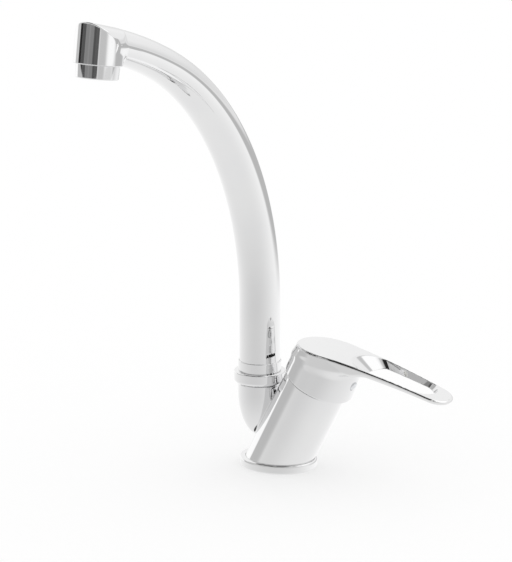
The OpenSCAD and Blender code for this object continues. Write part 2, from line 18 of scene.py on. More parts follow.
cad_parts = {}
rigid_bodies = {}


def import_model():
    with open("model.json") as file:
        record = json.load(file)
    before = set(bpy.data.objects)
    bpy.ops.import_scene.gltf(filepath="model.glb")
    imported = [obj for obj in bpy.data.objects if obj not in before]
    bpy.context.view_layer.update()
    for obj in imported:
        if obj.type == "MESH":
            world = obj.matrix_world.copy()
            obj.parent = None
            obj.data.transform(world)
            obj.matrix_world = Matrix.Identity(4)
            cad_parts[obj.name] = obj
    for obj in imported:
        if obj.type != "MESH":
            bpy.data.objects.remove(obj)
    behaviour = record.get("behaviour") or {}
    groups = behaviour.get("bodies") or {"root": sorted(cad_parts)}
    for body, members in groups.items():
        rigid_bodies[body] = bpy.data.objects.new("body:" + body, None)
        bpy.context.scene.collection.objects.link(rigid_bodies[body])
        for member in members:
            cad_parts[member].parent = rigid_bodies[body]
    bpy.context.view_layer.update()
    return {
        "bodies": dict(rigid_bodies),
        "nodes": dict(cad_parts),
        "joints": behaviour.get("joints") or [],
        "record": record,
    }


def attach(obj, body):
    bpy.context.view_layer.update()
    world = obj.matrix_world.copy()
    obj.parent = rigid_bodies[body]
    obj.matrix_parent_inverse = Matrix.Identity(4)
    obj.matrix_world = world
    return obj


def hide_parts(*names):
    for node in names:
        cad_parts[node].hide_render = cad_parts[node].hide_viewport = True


LOG = logging.getLogger("mixer")
MM = 0.001
Points = np.ndarray
Distance = Callable[[Points], Points]
Triple = tuple[float, float, float]
Box = tuple[Triple, Triple]

# Sizes that several sub-assemblies share, in millimetres and degrees.
LEAN = 27.0  # the body's, from upright towards +X
BODY_LEN = 70.0  # from the deck to the body's rim, along its axis
PIVOT_L = 56.0  # from the deck to the stem's pivot, along the same axis
BRANCH_X = 13.4  # from the deck's middle to the spout's upright axis, towards -X
NECK_R = 12.5  # the branch's neck inside the swivel nut
TUBE_R = 13.7  # the spout's tube at its foot
PLAY = 0.05  # between pieces that fit into each other
PAST = 10.0  # how far a cutter runs out of what it cuts

# Node types that keep the shader family's prefix in every kind of tree.
SHARED_NODES = frozenset({"Math", "MapRange", "VectorMath", "CombineXYZ", "SeparateXYZ"})


class Slot(Enum):
    """The record's material slots."""

    CHROME = "polished_chrome"
    RUBBER = "black_rubber"
    ACETAL = "white_acetal"
    BLUE = "blue_plastic"
    DARK = "dark_plastic"
    PLATED = "plated_plastic"
    CERAMIC = "ceramic"
    BRASS = "brass"
    STEEL = "steel"


class Rides(Enum):
    """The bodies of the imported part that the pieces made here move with."""

    BASE = "base"
    LEVER = "lever"
    SPOUT = "spout"


# ---------------------------------------------------------------- shader writing


class Tone:
    """A number in a node tree. Arithmetic on it adds Math nodes."""

    def __init__(self, board: "NodeBoard", socket: bpy.types.NodeSocket) -> None:
        """Wraps a socket.

        Args:
            board: The tree that gets the Math nodes.
            socket: The output that carries the number.
        """
        self.board = board
        self.socket = socket

    def __add__(self, other: "Tone | float") -> "Tone":
        """Sum."""
        return self.board.math("ADD", self, other)

    def __sub__(self, other: "Tone | float") -> "Tone":
        """Difference."""
        return self.board.math("SUBTRACT", self, other)

    def __rsub__(self, other: float) -> "Tone":
        """Difference from a number."""
        return self.board.math("SUBTRACT", other, self)

    def __mul__(self, other: "Tone | float") -> "Tone":
        """Product."""
        return self.board.math("MULTIPLY", self, other)

    def __truediv__(self, other: "Tone | float") -> "Tone":
        """Quotient."""
        return self.board.math("DIVIDE", self, other)

    __radd__ = __add__
    __rmul__ = __mul__

    def most(self, other: "Tone | float") -> "Tone":
        """The larger of the two."""
        return self.board.math("MAXIMUM", self, other)

    def root(self) -> "Tone":
        """Square root."""
        return self.board.math("SQRT", self)

    def toward(self, other: "Tone | float", share: "Tone") -> "Tone":
        """Moves towards another number by a share."""
        return self + share * (other - self)

    def ramp(
        self, start: "Tone | float", end: "Tone | float", low: "Tone | float" = 0.0, high: "Tone | float" = 1.0
    ) -> "Tone":
        """Rises smoothly from one value at start to another at end.

        Args:
            start: Where the rise begins.
            end: Where it ends; below start, the ramp falls.
            low: Its value at start.
            high: Its value at end.

        Returns:
            The tone between low and high.
        """
        span = {"Value": self, "From Min": start, "From Max": end, "To Min": low, "To Max": high}
        return self.board.tone(self.board.add("MapRange", {"interpolation_type": "SMOOTHSTEP"}, span), "Result")

    def between(self, low: float, high: float, soft: float) -> "Tone":
        """1 from low to high and 0 away from them.

        Args:
            low: Lower edge of the band.
            high: Upper edge of the band.
            soft: Width of each edge's change.

        Returns:
            The band as a share.
        """
        return self.ramp(low - soft, low + soft) * self.ramp(high + soft, high - soft)


class NodeBoard:
    """Writes the nodes of one shader or geometry tree."""

    def __init__(self, tree: bpy.types.NodeTree, family: str = "ShaderNode") -> None:
        """Starts on a tree.

        Args:
            tree: The node tree to fill.
            family: Prefix of the tree's own node types.
        """
        self.tree = tree
        self.family = family

    @classmethod
    def fresh(cls, owner: bpy.types.Material | bpy.types.World) -> "NodeBoard":
        """Starts on an empty shader tree.

        Args:
            owner: The material or world that gets the tree.

        Returns:
            A board for it.
        """
        owner.use_nodes = True
        owner.node_tree.nodes.clear()
        return cls(owner.node_tree)

    def add(
        self, kind: str, settings: dict[str, object] | None = None, inputs: dict[str | int, object] | None = None
    ) -> bpy.types.Node:
        """Adds a node, sets it up and fills its sockets.

        Args:
            kind: Node type without its family, or the whole type of a group's input or output.
            settings: The node's own properties, set first.
            inputs: What its sockets get, by socket name or number.

        Returns:
            The new node.
        """
        family = "" if "Node" in kind else "ShaderNode" if kind in SHARED_NODES else self.family
        node = self.tree.nodes.new(family + kind)
        for name, value in (settings or {}).items():
            setattr(node, name, value)
        for name, value in (inputs or {}).items():
            self.feed(node.inputs[name], value)
        return node

    def feed(self, socket: bpy.types.NodeSocket, value: object) -> None:
        """Links or sets one input.

        Args:
            socket: The input.
            value: A tone, an output socket, a node that gives its first output, or a plain value.
        """
        if isinstance(value, Tone):
            value = value.socket
        elif isinstance(value, bpy.types.Node):
            value = value.outputs[0]
        if isinstance(value, bpy.types.NodeSocket):
            self.tree.links.new(value, socket)
        else:
            socket.default_value = value

    def tone(self, node: bpy.types.Node, output: str | int = 0) -> Tone:
        """One of a node's outputs as a number."""
        return Tone(self, node.outputs[output])

    def math(self, operation: str, *values: Tone | float) -> Tone:
        """The result of one Math node.

        Args:
            operation: The node's operation.
            values: Its inputs in order.

        Returns:
            The result.
        """
        return self.tone(self.add("Math", {"operation": operation}, dict(enumerate(values))))

    def vector(self, operation: str, *values: object) -> bpy.types.Node:
        """A Vector Math node with its inputs in order."""
        return self.add("VectorMath", {"operation": operation}, dict(enumerate(values)))

    def noise(self, scale: float, detail: float, stretch: Triple) -> Tone:
        """Fractal noise over the object.

        Args:
            scale: Patches per metre.
            detail: Octaves.
            stretch: Scale of the pattern along each axis.

        Returns:
            The noise from 0 to 1.
        """
        place = self.add("TexCoord").outputs["Object"]
        mapped = self.add("Mapping", None, {"Vector": place, "Scale": stretch})
        look = {"Vector": mapped, "Scale": scale, "Detail": detail, "Roughness": 0.5}
        return self.tone(self.add("TexNoise", None, look))

    def blend(self, share: Tone, first: Triple, second: Triple) -> bpy.types.NodeSocket:
        """A colour between two.

        Args:
            share: 0 gives the first colour and 1 the second.
            first: Red, green and blue.
            second: Red, green and blue.

        Returns:
            The colour output.
        """
        node = self.add("Mix", {"data_type": "RGBA"}, {"Factor": share})
        for socket, colour in zip((s for s in node.inputs if s.type == "RGBA"), (first, second)):
            socket.default_value = (*colour, 1.0)
        return next(s for s in node.outputs if s.type == "RGBA")

    def glow(self, strength: Tone | float) -> bpy.types.Node:
        """White light of a strength."""
        return self.add("Emission", None, {"Color": (1, 1, 1, 1), "Strength": strength})


@dataclass(frozen=True)
class Finish:
    """A surface finish: two close colours, a roughness that varies a little, and a fine relief."""

    name: str
    slot: Slot
    colour: Triple
    second: Triple
    rough: float
    rough_spread: float
    metallic: float
    patch: float
    grain: float
    relief: float
    depth: float = 0.00002
    stretch: Triple = (1.0, 1.0, 1.0)

    def material(self) -> bpy.types.Material:
        """Writes the finish as a node material.

        Returns:
            The material.
        """
        made = bpy.data.materials.new(self.name)
        board = NodeBoard.fresh(made)
        patches = board.noise(self.patch, 3.0, self.stretch)
        grain = board.noise(self.grain, 2.0, self.stretch)
        colour = board.blend(patches.ramp(0.3, 0.7), self.colour, self.second)
        rough = self.rough + self.rough_spread * (patches - 0.5) + self.rough_spread / 2 * (grain - 0.5)
        relief = {"Strength": self.relief, "Distance": self.depth, "Height": grain + 0.5 * patches}
        look = {"Base Color": colour, "Roughness": rough, "Metallic": self.metallic, "IOR": 1.5}
        look["Normal"] = board.add("Bump", None, relief)
        board.add("OutputMaterial", None, {"Surface": board.add("BsdfPrincipled", None, look)})
        return made


CHROME = Finish(
    "polished_chrome", Slot.CHROME, (0.88, 0.88, 0.885), (0.9, 0.9, 0.9), 0.04, 0.02, 1.0, 25.0, 900.0, 0.02
)
PLATED = Finish(
    "plated_cap", Slot.PLATED, (0.84, 0.85, 0.87), (0.87, 0.88, 0.9), 0.07, 0.03, 1.0, 400.0, 2500.0, 0.03
)
RUBBER = Finish(
    "seal_rubber", Slot.RUBBER, (0.018, 0.018, 0.02), (0.03, 0.03, 0.032), 0.62, 0.14, 0.0, 300.0, 3500.0, 0.3
)
ACETAL = Finish(
    "white_acetal", Slot.ACETAL, (0.78, 0.78, 0.75), (0.72, 0.72, 0.68), 0.38, 0.1, 0.0, 150.0, 2600.0, 0.15
)
BLUE = Finish(
    "blue_housing", Slot.BLUE, (0.035, 0.11, 0.36), (0.045, 0.14, 0.42), 0.36, 0.1, 0.0, 120.0, 2600.0, 0.15
)
DARK = Finish(
    "dark_carrier", Slot.DARK, (0.045, 0.045, 0.05), (0.06, 0.06, 0.066), 0.42, 0.1, 0.0, 200.0, 2600.0, 0.2
)
CERAMIC = Finish(
    "ground_ceramic", Slot.CERAMIC, (0.8, 0.78, 0.72), (0.84, 0.83, 0.79), 0.18, 0.06, 0.0, 90.0, 4000.0, 0.05
)
BRASS = Finish(
    "turned_brass", Slot.BRASS, (0.66, 0.48, 0.2), (0.72, 0.55, 0.27), 0.26, 0.1, 1.0, 70.0, 1500.0, 0.25,
    depth=0.00004, stretch=(0.4, 0.4, 3.0),
)
STEEL = Finish(
    "bright_steel", Slot.STEEL, (0.52, 0.53, 0.55), (0.6, 0.61, 0.63), 0.24, 0.1, 1.0, 90.0, 1800.0, 0.2,
    depth=0.00003, stretch=(0.5, 0.5, 2.5),
)


# ---------------------------------------------------------------- solid shapes


class Placement:
    """A set of axes somewhere in the deck's frame."""

    def __init__(self, origin: Sequence[float] = (0, 0, 0), axes: Points | None = None) -> None:
        """Places the axes.

        Args:
            origin: Where the axes meet.
            axes: Their directions, one a column.
        """
        self.origin = np.array(origin, float)
        self.axes = np.eye(3) if axes is None else axes

    def moved(self, z: float) -> "Placement":
        """The axes moved along their own Z."""
        return Placement(self.origin + self.axes @ np.array([0, 0, z], float), self.axes)

    def _turned(self, angle: float, first: int, second: int) -> "Placement":
        """The axes turned in the plane of two of them.

        Args:
            angle: Degrees from the first towards the second.
            first: Number of the first axis.
            second: Number of the second axis.

        Returns:
            The turned axes.
        """
        c, s = math.cos(math.radians(angle)), math.sin(math.radians(angle))
        turn = np.eye(3)
        turn[first, first] = turn[second, second] = c
        turn[second, first], turn[first, second] = s, -s
        return Placement(self.origin, self.axes @ turn)

    def tilted(self, angle: float) -> "Placement":
        """The axes turned about their own Y, so that a positive angle leans Z towards X."""
        return self._turned(angle, 2, 0)

    def pitched(self, angle: float) -> "Placement":
        """The axes turned about their own X, so that a positive angle leans Y towards Z."""
        return self._turned(angle, 1, 2)

    def seen(self, points: Points) -> Points:
        """Points of the deck's frame, along these axes."""
        return (points - self.origin) @ self.axes

    def deck(self, points: Points) -> Points:
        """Points along these axes, in the deck's frame."""
        return points @ self.axes.T + self.origin


DECK = Placement()
LEANING = DECK.tilted(LEAN)
SPOUT_AXIS = Placement((-BRANCH_X, 0, 0))


class Form:
    """A solid given by its signed distance, which is below zero inside."""

    def __init__(self, distance: Distance) -> None:
        """Keeps the distance rule."""
        self.distance = distance

    def __call__(self, points: Points) -> Points:
        """The signed distance at each point."""
        return self.distance(points)

    def joined(self, other: "Form", fillet: "float | Distance" = 0.0) -> "Form":
        """Both solids together.

        Args:
            other: The second solid.
            fillet: Radius in the hollow between them, or a rule that gives it at each point.

        Returns:
            The union.
        """

        def rule(p: Points) -> Points:
            """Distance to the union.

            Args:
                p: Points of the deck's frame.

            Returns:
                The distance at each.
            """
            a, b = self(p), other(p)
            if not callable(fillet) and not fillet:
                return np.minimum(a, b)
            r = fillet(p) if callable(fillet) else fillet
            return np.maximum(r, np.minimum(a, b)) - np.hypot(np.maximum(r - a, 0), np.maximum(r - b, 0))

        return Form(rule)

    def common(self, other: "Form", edge: float = 0.0) -> "Form":
        """What both solids share.

        Args:
            other: The second solid.
            edge: Radius of the edge where their surfaces meet.

        Returns:
            The intersection.
        """

        def rule(p: Points) -> Points:
            """Distance to the intersection.

            Args:
                p: Points of the deck's frame.

            Returns:
                The distance at each.
            """
            a, b = self(p), other(p)
            if not edge:
                return np.maximum(a, b)
            return np.minimum(-edge, np.maximum(a, b)) + np.hypot(np.maximum(edge + a, 0), np.maximum(edge + b, 0))

        return Form(rule)

    def flipped(self) -> "Form":
        """Everything outside this solid."""
        return Form(lambda p: -self(p))

    def without(self, other: "Form", edge: float = 0.0) -> "Form":
        """This solid with the other taken out of it, and its edge rounded."""
        return self.common(other.flipped(), edge)


def rod(place: Placement, radius: float, low: float = -1e4, high: float = 1e4) -> Form:
    """A round bar along Z.

    Args:
        place: Its axes.
        radius: Its radius.
        low: Its lower end.
        high: Its upper end.

    Returns:
        The bar.
    """

    def rule(p: Points) -> Points:
        """Distance to the bar."""
        q = place.seen(p)
        return np.maximum(np.hypot(q[:, 0], q[:, 1]) - radius, np.maximum(low - q[:, 2], q[:, 2] - high))

    return Form(rule)


def below(place: Placement) -> Form:
    """Everything under a place's XY plane."""
    return Form(lambda p: place.seen(p)[:, 2])


def above(height: float) -> Form:
    """Everything over a height above the deck."""
    return Form(lambda p: height - p[:, 2])


def block(place: Placement, low: Sequence[float], high: Sequence[float]) -> Form:
    """A box between two corners.

    Args:
        place: Its axes.
        low: Its lowest corner along them.
        high: Its highest corner along them.

    Returns:
        The box.
    """

    def rule(p: Points) -> Points:
        """Distance to the box."""
        q = place.seen(p)
        return np.max(np.maximum(np.array(low, float) - q, q - np.array(high, float)), axis=1)

    return Form(rule)


def passage(start: Sequence[float], end: Sequence[float], radius: float) -> Form:
    """A round water way with rounded ends.

    Args:
        start: The point where it starts.
        end: The point where it ends.
        radius: Its radius.

    Returns:
        The water way.
    """
    start, way = np.array(start, float), np.array(end, float) - np.array(start, float)

    def rule(p: Points) -> Points:
        """Distance to the water way."""
        share = np.clip((p - start) @ way / (way @ way), 0, 1)
        return np.linalg.norm(p - start - share[:, None] * way, axis=1) - radius

    return Form(rule)


def oval(x: Points, y: Points, half_x: float, half_y: float) -> Points:
    """Distance to an ellipse about the origin.

    Args:
        x: Places along its first axis.
        y: Places along its second axis.
        half_x: Half its width along the first axis.
        half_y: Half its width along the second axis.

    Returns:
        The distance, close to true near the line.
    """
    reach = np.hypot(x / half_x, y / half_y)
    slope = np.hypot(x / half_x**2, y / half_y**2)
    return reach * (reach - 1) / np.maximum(slope, 1e-6)


def pill(x: Points, y: Points, span: float, first: Points | float, second: Points | float) -> Points:
    """Distance to two circles on the X axis joined by their outer tangents.

    Args:
        x: Places along the axis, from the first circle's middle.
        y: Places across it.
        span: Distance between the circles' middles.
        first: Radius of the first circle.
        second: Radius of the second circle.

    Returns:
        The distance.
    """
    y = np.abs(y)
    sine = (first - second) / span
    cosine = np.sqrt(1 - sine**2)
    along = cosine * x - sine * y
    flank = cosine * y + sine * x - first
    early, late = np.hypot(x, y) - first, np.hypot(x - span, y) - second
    return np.where(along < 0, early, np.where(along > cosine * span, late, flank))


def ease(share: Points) -> Points:
    """A smooth step from 0 to 1."""
    share = np.clip(share, 0, 1)
    return share * share * (3 - 2 * share)


CORNERS = np.array([[i, j, k] for i in (0, 1) for j in (0, 1) for k in (0, 1)])
CELL_EDGES = [(a, b) for a in range(8) for b in range(a + 1, 8) if np.abs(CORNERS[a] - CORNERS[b]).sum() == 1]


@dataclass(frozen=True)
class Skin:
    """Meshes a form: a grid finds the surface, then each vertex settles on it."""

    step: float
    rounds: int = 4
    layers: int = 12
    relaxing: float = 0.6
    pushes: int = 2

    def slope(self, form: Form, points: Points, reach: float = 0.02) -> Points:
        """Gradient of the form's distance.

        Args:
            form: The solid.
            points: Where the gradient is taken.
            reach: How far to each side the distance is read.

        Returns:
            The gradient at each point.
        """
        made = np.empty_like(points)
        for k in range(3):
            shift = np.zeros(3)
            shift[k] = reach
            made[:, k] = (form(points + shift) - form(points - shift)) / (2 * reach)
        return made

    def sampled(self, form: Form, place: Placement, axes: list[Points]) -> Points:
        """The form's distance at every grid point, worked out a few layers at a time.

        Args:
            form: The solid.
            place: The grid's axes.
            axes: The grid's steps along each of them.

        Returns:
            The distances on the grid.
        """
        values = np.empty([len(a) for a in axes])
        for start in range(0, len(axes[0]), self.layers):
            some = slice(start, start + self.layers)
            layers = np.stack(np.meshgrid(axes[0][some], axes[1], axes[2], indexing="ij"), -1)
            values[some] = form(place.deck(layers.reshape(-1, 3))).reshape(layers.shape[:3])
        return values

    def netted(self, values: Points) -> tuple[Points, Points]:
        """One vertex in each cell that the surface crosses, and a quad across each crossed grid edge.

        Args:
            values: Distances on the grid.

        Returns:
            Vertices in grid steps, and quads.
        """
        inside = values < 0
        count = sum(
            inside[tuple(slice(c, n - 1 + c) for c, n in zip(corner, values.shape))].astype(np.int8)
            for corner in CORNERS
        )
        cells = np.argwhere((count > 0) & (count < 8))
        number = np.full([n - 1 for n in values.shape], -1)
        number[tuple(cells.T)] = np.arange(len(cells))
        at_corner = [values[tuple((cells + corner).T)] for corner in CORNERS]
        total, hits = np.zeros((len(cells), 3)), np.zeros(len(cells))
        for a, b in CELL_EDGES:
            crossed = (at_corner[a] < 0) != (at_corner[b] < 0)
            share = np.where(crossed, at_corner[a] / np.where(crossed, at_corner[a] - at_corner[b], 1), 0)
            total += crossed[:, None] * (CORNERS[a] + share[:, None] * (CORNERS[b] - CORNERS[a]))
            hits += crossed
        quads = []
        for axis in range(3):
            left, right = np.eye(3, dtype=int)[(axis + 1) % 3], np.eye(3, dtype=int)[(axis + 2) % 3]
            first = tuple(slice(None, -1) if k == axis else slice(1, -1) for k in range(3))
            second = tuple(slice(1, None) if k == axis else slice(1, -1) for k in range(3))
            edges = np.argwhere(inside[first] != inside[second]) + left + right
            ring = np.stack([number[tuple((edges - s).T)] for s in (left + right, right, 0 * left, left)], 1)
            outward = inside[tuple(edges.T)]
            quads.append(np.where(outward[:, None], ring, ring[:, ::-1]))
        return cells + total / hits[:, None], np.concatenate(quads)

    def made(self, form: Form, box: Box, place: Placement = DECK) -> tuple:
        """Meshes the form inside a box.

        Args:
            form: The solid.
            box: The box's lowest and highest corner along the place's axes.
            place: The axes that the grid follows.

        Returns:
            Vertices in the deck's frame, quads and vertex normals.
        """
        axes = [np.arange(a, b + self.step, self.step) for a, b in zip(*box)]
        vertices, quads = self.netted(self.sampled(form, place, axes))
        points = place.deck(vertices * self.step + np.array(box[0], float))
        ends = np.concatenate([quads[:, [k, (k + 1) % 4]] for k in range(4)])
        ends = np.concatenate([ends, ends[:, ::-1]])
        degree = np.bincount(ends[:, 0], minlength=len(points))[:, None]
        for turn in range(self.rounds):
            if turn:
                pull = [np.bincount(ends[:, 0], points[ends[:, 1], k], len(points)) for k in range(3)]
                points = points + self.relaxing * (np.stack(pull, 1) / degree - points)
            for _ in range(self.pushes):
                slope = self.slope(form, points)
                push = form(points) / np.maximum((slope**2).sum(1), 0.05)
                points = points - np.clip(push, -self.step, self.step)[:, None] * slope
        normals = self.slope(form, points, 0.05)
        normals /= np.maximum(np.linalg.norm(normals, axis=1), 1e-9)[:, None]
        return points, quads, normals


@dataclass(frozen=True)
class Corner:
    """A corner of a turned profile: its distance from the axis, its height and its rounding."""

    r: float
    z: float
    rounding: float = 0.0


def profile(*rows: tuple[float, ...]) -> list[Corner]:
    """Corners from rows of a radius, a height and a rounding."""
    return [Corner(*row) for row in rows]


@dataclass
class Turning:
    """A closed profile turned about an axis, with its normals taken from the profile itself."""

    corners: list[Corner]
    sides: int = 120
    arc_steps: int = 7

    def outline(self) -> list[tuple[Points, Points, Points]]:
        """The profile's points, with an arc of them at each rounded corner.

        Returns:
            The points in order, each with the normals before and after it.
        """
        made: list[tuple[Points, Points, Points]] = []
        n = len(self.corners)
        for k, corner in enumerate(self.corners):
            here = np.array([corner.r, corner.z])
            back, ahead = self.corners[k - 1], self.corners[(k + 1) % n]
            come, go = here - [back.r, back.z], np.array([ahead.r, ahead.z]) - here
            come, go = come / np.linalg.norm(come), go / np.linalg.norm(go)
            facing_in, facing_out = np.array([come[1], -come[0]]), np.array([go[1], -go[0]])
            if corner.rounding <= 0:
                made.append((here, facing_in, facing_out))
                continue
            turn = math.atan2(come[0] * go[1] - come[1] * go[0], come @ go)
            trim = corner.rounding * math.tan(abs(turn) / 2)
            side = np.sign(turn)
            centre = here - come * trim - side * facing_in * corner.rounding
            for step in range(self.arc_steps + 1):
                a = turn * step / self.arc_steps
                c, s = math.cos(a), math.sin(a)
                facing = np.array([c * facing_in[0] - s * facing_in[1], s * facing_in[0] + c * facing_in[1]])
                made.append((centre + side * facing * corner.rounding, facing, facing))
        return made

    def made(self, place: Placement) -> tuple:
        """Turns the profile about the place's Z.

        Args:
            place: Axes of the turned piece.

        Returns:
            Vertices in the deck's frame, faces, and one normal for each face corner.
        """
        outline = self.outline()
        n, angles = len(outline), 2 * math.pi * np.arange(self.sides) / self.sides
        spoke = np.stack([np.cos(angles), np.sin(angles)], 1)
        vertices: list[Points] = []
        rings: list[list[int]] = []
        for at, _, _ in outline:
            if abs(at[0]) < 1e-6:
                rings.append([len(vertices)] * self.sides)
                vertices.append(np.array([0.0, 0.0, at[1]]))
            else:
                rings.append(list(range(len(vertices), len(vertices) + self.sides)))
                vertices.extend(np.append(at[0] * s, at[1]) for s in spoke)
        faces: list[tuple[int, ...]] = []
        normals: list[Points] = []
        for k in range(n):
            after, before = outline[k][2], outline[(k + 1) % n][1]
            low, high = rings[k], rings[(k + 1) % n]
            if low[0] == low[1] and high[0] == high[1]:
                continue
            for i in range(self.sides):
                j = (i + 1) % self.sides
                loop = [(low[i], i, after), (low[j], j, after), (high[j], j, before), (high[i], i, before)]
                if low[i] == low[j]:
                    loop = [loop[0], loop[2], loop[3]]
                elif high[i] == high[j]:
                    loop = loop[:3]
                faces.append(tuple(v for v, _, _ in loop))
                normals.extend(np.append(f[0] * spoke[s], f[1]) for _, s, f in loop)
        return place.deck(np.array(vertices)), faces, np.array(normals) @ place.axes.T


# ---------------------------------------------------------------- making pieces


class Bench:
    """Turns shapes into pieces of the part, dressed and riding on their bodies."""

    def __init__(self, frame: dict) -> None:
        """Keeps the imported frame.
        """
        self.nodes = frame["nodes"]
        self.materials: dict[str, bpy.types.Material] = {}

    def dressed(self, finish: Finish) -> bpy.types.Material:
        """The material of a finish, written once.

        Args:
            finish: The finish.

        Returns:
            Its material.
        """
        if finish.name not in self.materials:
            self.materials[finish.name] = finish.material()
        return self.materials[finish.name]

    def mesh(self, name: str, points: Points, faces: Sequence, normals: Points) -> bpy.types.Mesh:
        """Writes a mesh in metres with its own normals.

        Args:
            name: The mesh's name.
            points: Vertices in millimetres.
            faces: Vertex numbers of each face.
            normals: One normal a vertex or one a face corner.

        Returns:
            The mesh.
        """
        mesh = bpy.data.meshes.new(name)
        faces = faces.tolist() if isinstance(faces, np.ndarray) else faces
        mesh.from_pydata((points * MM).tolist(), [], faces)
        mesh.shade_smooth()
        if len(normals) == len(points):
            mesh.normals_split_custom_set_from_vertices(normals.tolist())
        else:
            mesh.normals_split_custom_set(normals.tolist())
        mesh.validate()
        return mesh

    def place(self, mesh: bpy.types.Mesh, finish: Finish, body: Rides, *replaced: str) -> None:
        """Makes a piece of a mesh.

        Args:
            mesh: The finished mesh, in place.
            finish: What it is dressed in.
            body: The body that it moves with.
            replaced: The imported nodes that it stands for.
        """
        piece = linked(mesh.name, mesh)
        mesh.materials.clear()
        mesh.materials.append(self.dressed(finish))
        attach(piece, body.value)
        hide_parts(*replaced)
        LOG.info("%s: %d faces on %s, for %s", piece.name, len(mesh.polygons), body.value, ", ".join(replaced))

    def piece(self, name: str, shape: tuple, finish: Finish, body: Rides, *replaced: str) -> None:
        """Makes a piece of its shape.

        Args:
            name: Its name.
            shape: Vertices in millimetres, faces, and one normal a vertex or one a face corner.
            finish: What it is dressed in.
            body: The body that it moves with.
            replaced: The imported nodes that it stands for.
        """
        self.place(self.mesh(name, *shape), finish, body, *replaced)

    def carry_over(self, finish: Finish, *names: str) -> None:
        """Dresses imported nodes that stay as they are.

        Args:
            finish: Their finish.
            names: The nodes.
        """
        for name in names:
            node = self.nodes[name]
            material = self.dressed(finish)
            if node.material_slots:
                for holder in node.material_slots:
                    holder.material = material
            else:
                node.data.materials.append(material)
            LOG.info("%s: packed node kept, in %s", name, finish.name)


def linked(name: str, data: bpy.types.ID) -> bpy.types.Object:
    """A new object in the scene.

    Args:
        name: Its name.
        data: Its mesh or camera.

    Returns:
        The object.
    """
    made = bpy.data.objects.new(name, data)
    bpy.context.scene.collection.objects.link(made)
    return made


class MeshRecipe:
    """A geometry tree that makes one mesh: its inputs, its board and its last steps."""

    def __init__(self, name: str, numbers: Sequence[str], counts: Sequence[str]) -> None:
        """Starts the tree.

        Args:
            name: The tree's name.
            numbers: Names of its decimal inputs.
            counts: Names of its whole inputs.
        """
        self.tree = bpy.data.node_groups.new(name, "GeometryNodeTree")
        self.board = NodeBoard(self.tree, "GeometryNode")
        kinds = {"Geometry": "Geometry", **dict.fromkeys(numbers, "Float"), **dict.fromkeys(counts, "Int")}
        for label, kind in (kinds | {"Finish": "Material"}).items():
            self.tree.interface.new_socket(label, in_out="INPUT", socket_type="NodeSocket" + kind)
        self.tree.interface.new_socket("Geometry", in_out="OUTPUT", socket_type="NodeSocketGeometry")
        self.inputs = self.board.add("NodeGroupInput")
        self.given = {label: self.board.tone(self.inputs, label) for label in (*numbers, *counts)}

    def finished(self, last: bpy.types.Node) -> bpy.types.NodeTree:
        """Smooths and dresses the mesh, and hands it out.

        Args:
            last: The node that gives the mesh.

        Returns:
            The whole tree.
        """
        smooth = self.board.add("SetShadeSmooth", None, {"Geometry": last})
        real = self.board.add("RealizeInstances", None, {0: smooth})
        dress = {"Geometry": real, "Material": self.inputs.outputs["Finish"]}
        self.board.add("NodeGroupOutput", None, {0: self.board.add("SetMaterial", None, dress)})
        return self.tree


def grown(name: str, start: bpy.types.Mesh, tree: bpy.types.NodeTree, sizes: dict[str, object]) -> bpy.types.Mesh:
    """Runs a geometry tree and keeps its result as a plain mesh that faces outwards.

    Args:
        name: Name of the mesh.
        start: The mesh that the tree begins with.
        tree: The geometry tree.
        sizes: Its named inputs.

    Returns:
        The finished mesh.
    """
    holder = linked(name + "_guide", start)
    modifier = holder.modifiers.new("grown", "NODES")
    modifier.node_group = tree
    for item in tree.interface.items_tree:
        if item.in_out == "INPUT" and item.name in sizes:
            modifier[item.identifier] = sizes[item.name]
    depsgraph = bpy.context.evaluated_depsgraph_get()
    mesh = bpy.data.meshes.new_from_object(holder.evaluated_get(depsgraph), depsgraph=depsgraph)
    mesh.name = name
    holder.modifiers.clear()
    bpy.data.objects.remove(holder)
    mesh.calc_loop_triangles()
    points = read_points(mesh)
    corners = np.array([t.vertices[:] for t in mesh.loop_triangles])
    a, b, c = (points[corners[:, k]] for k in range(3))
    if (a * np.cross(b, c)).sum() < 0:
        mesh.flip_normals()
    mesh.set_sharp_from_angle(angle=math.radians(40))
    return mesh


def read_points(mesh: bpy.types.Mesh) -> Points:
    """A mesh's vertices.

    Args:
        mesh: The mesh.

    Returns:
        Their places, one a row.
    """
    flat = np.empty(len(mesh.vertices) * 3)
    mesh.vertices.foreach_get("co", flat)
    return flat.reshape(-1, 3)


# ---------------------------------------------------------------- the sub-assemblies


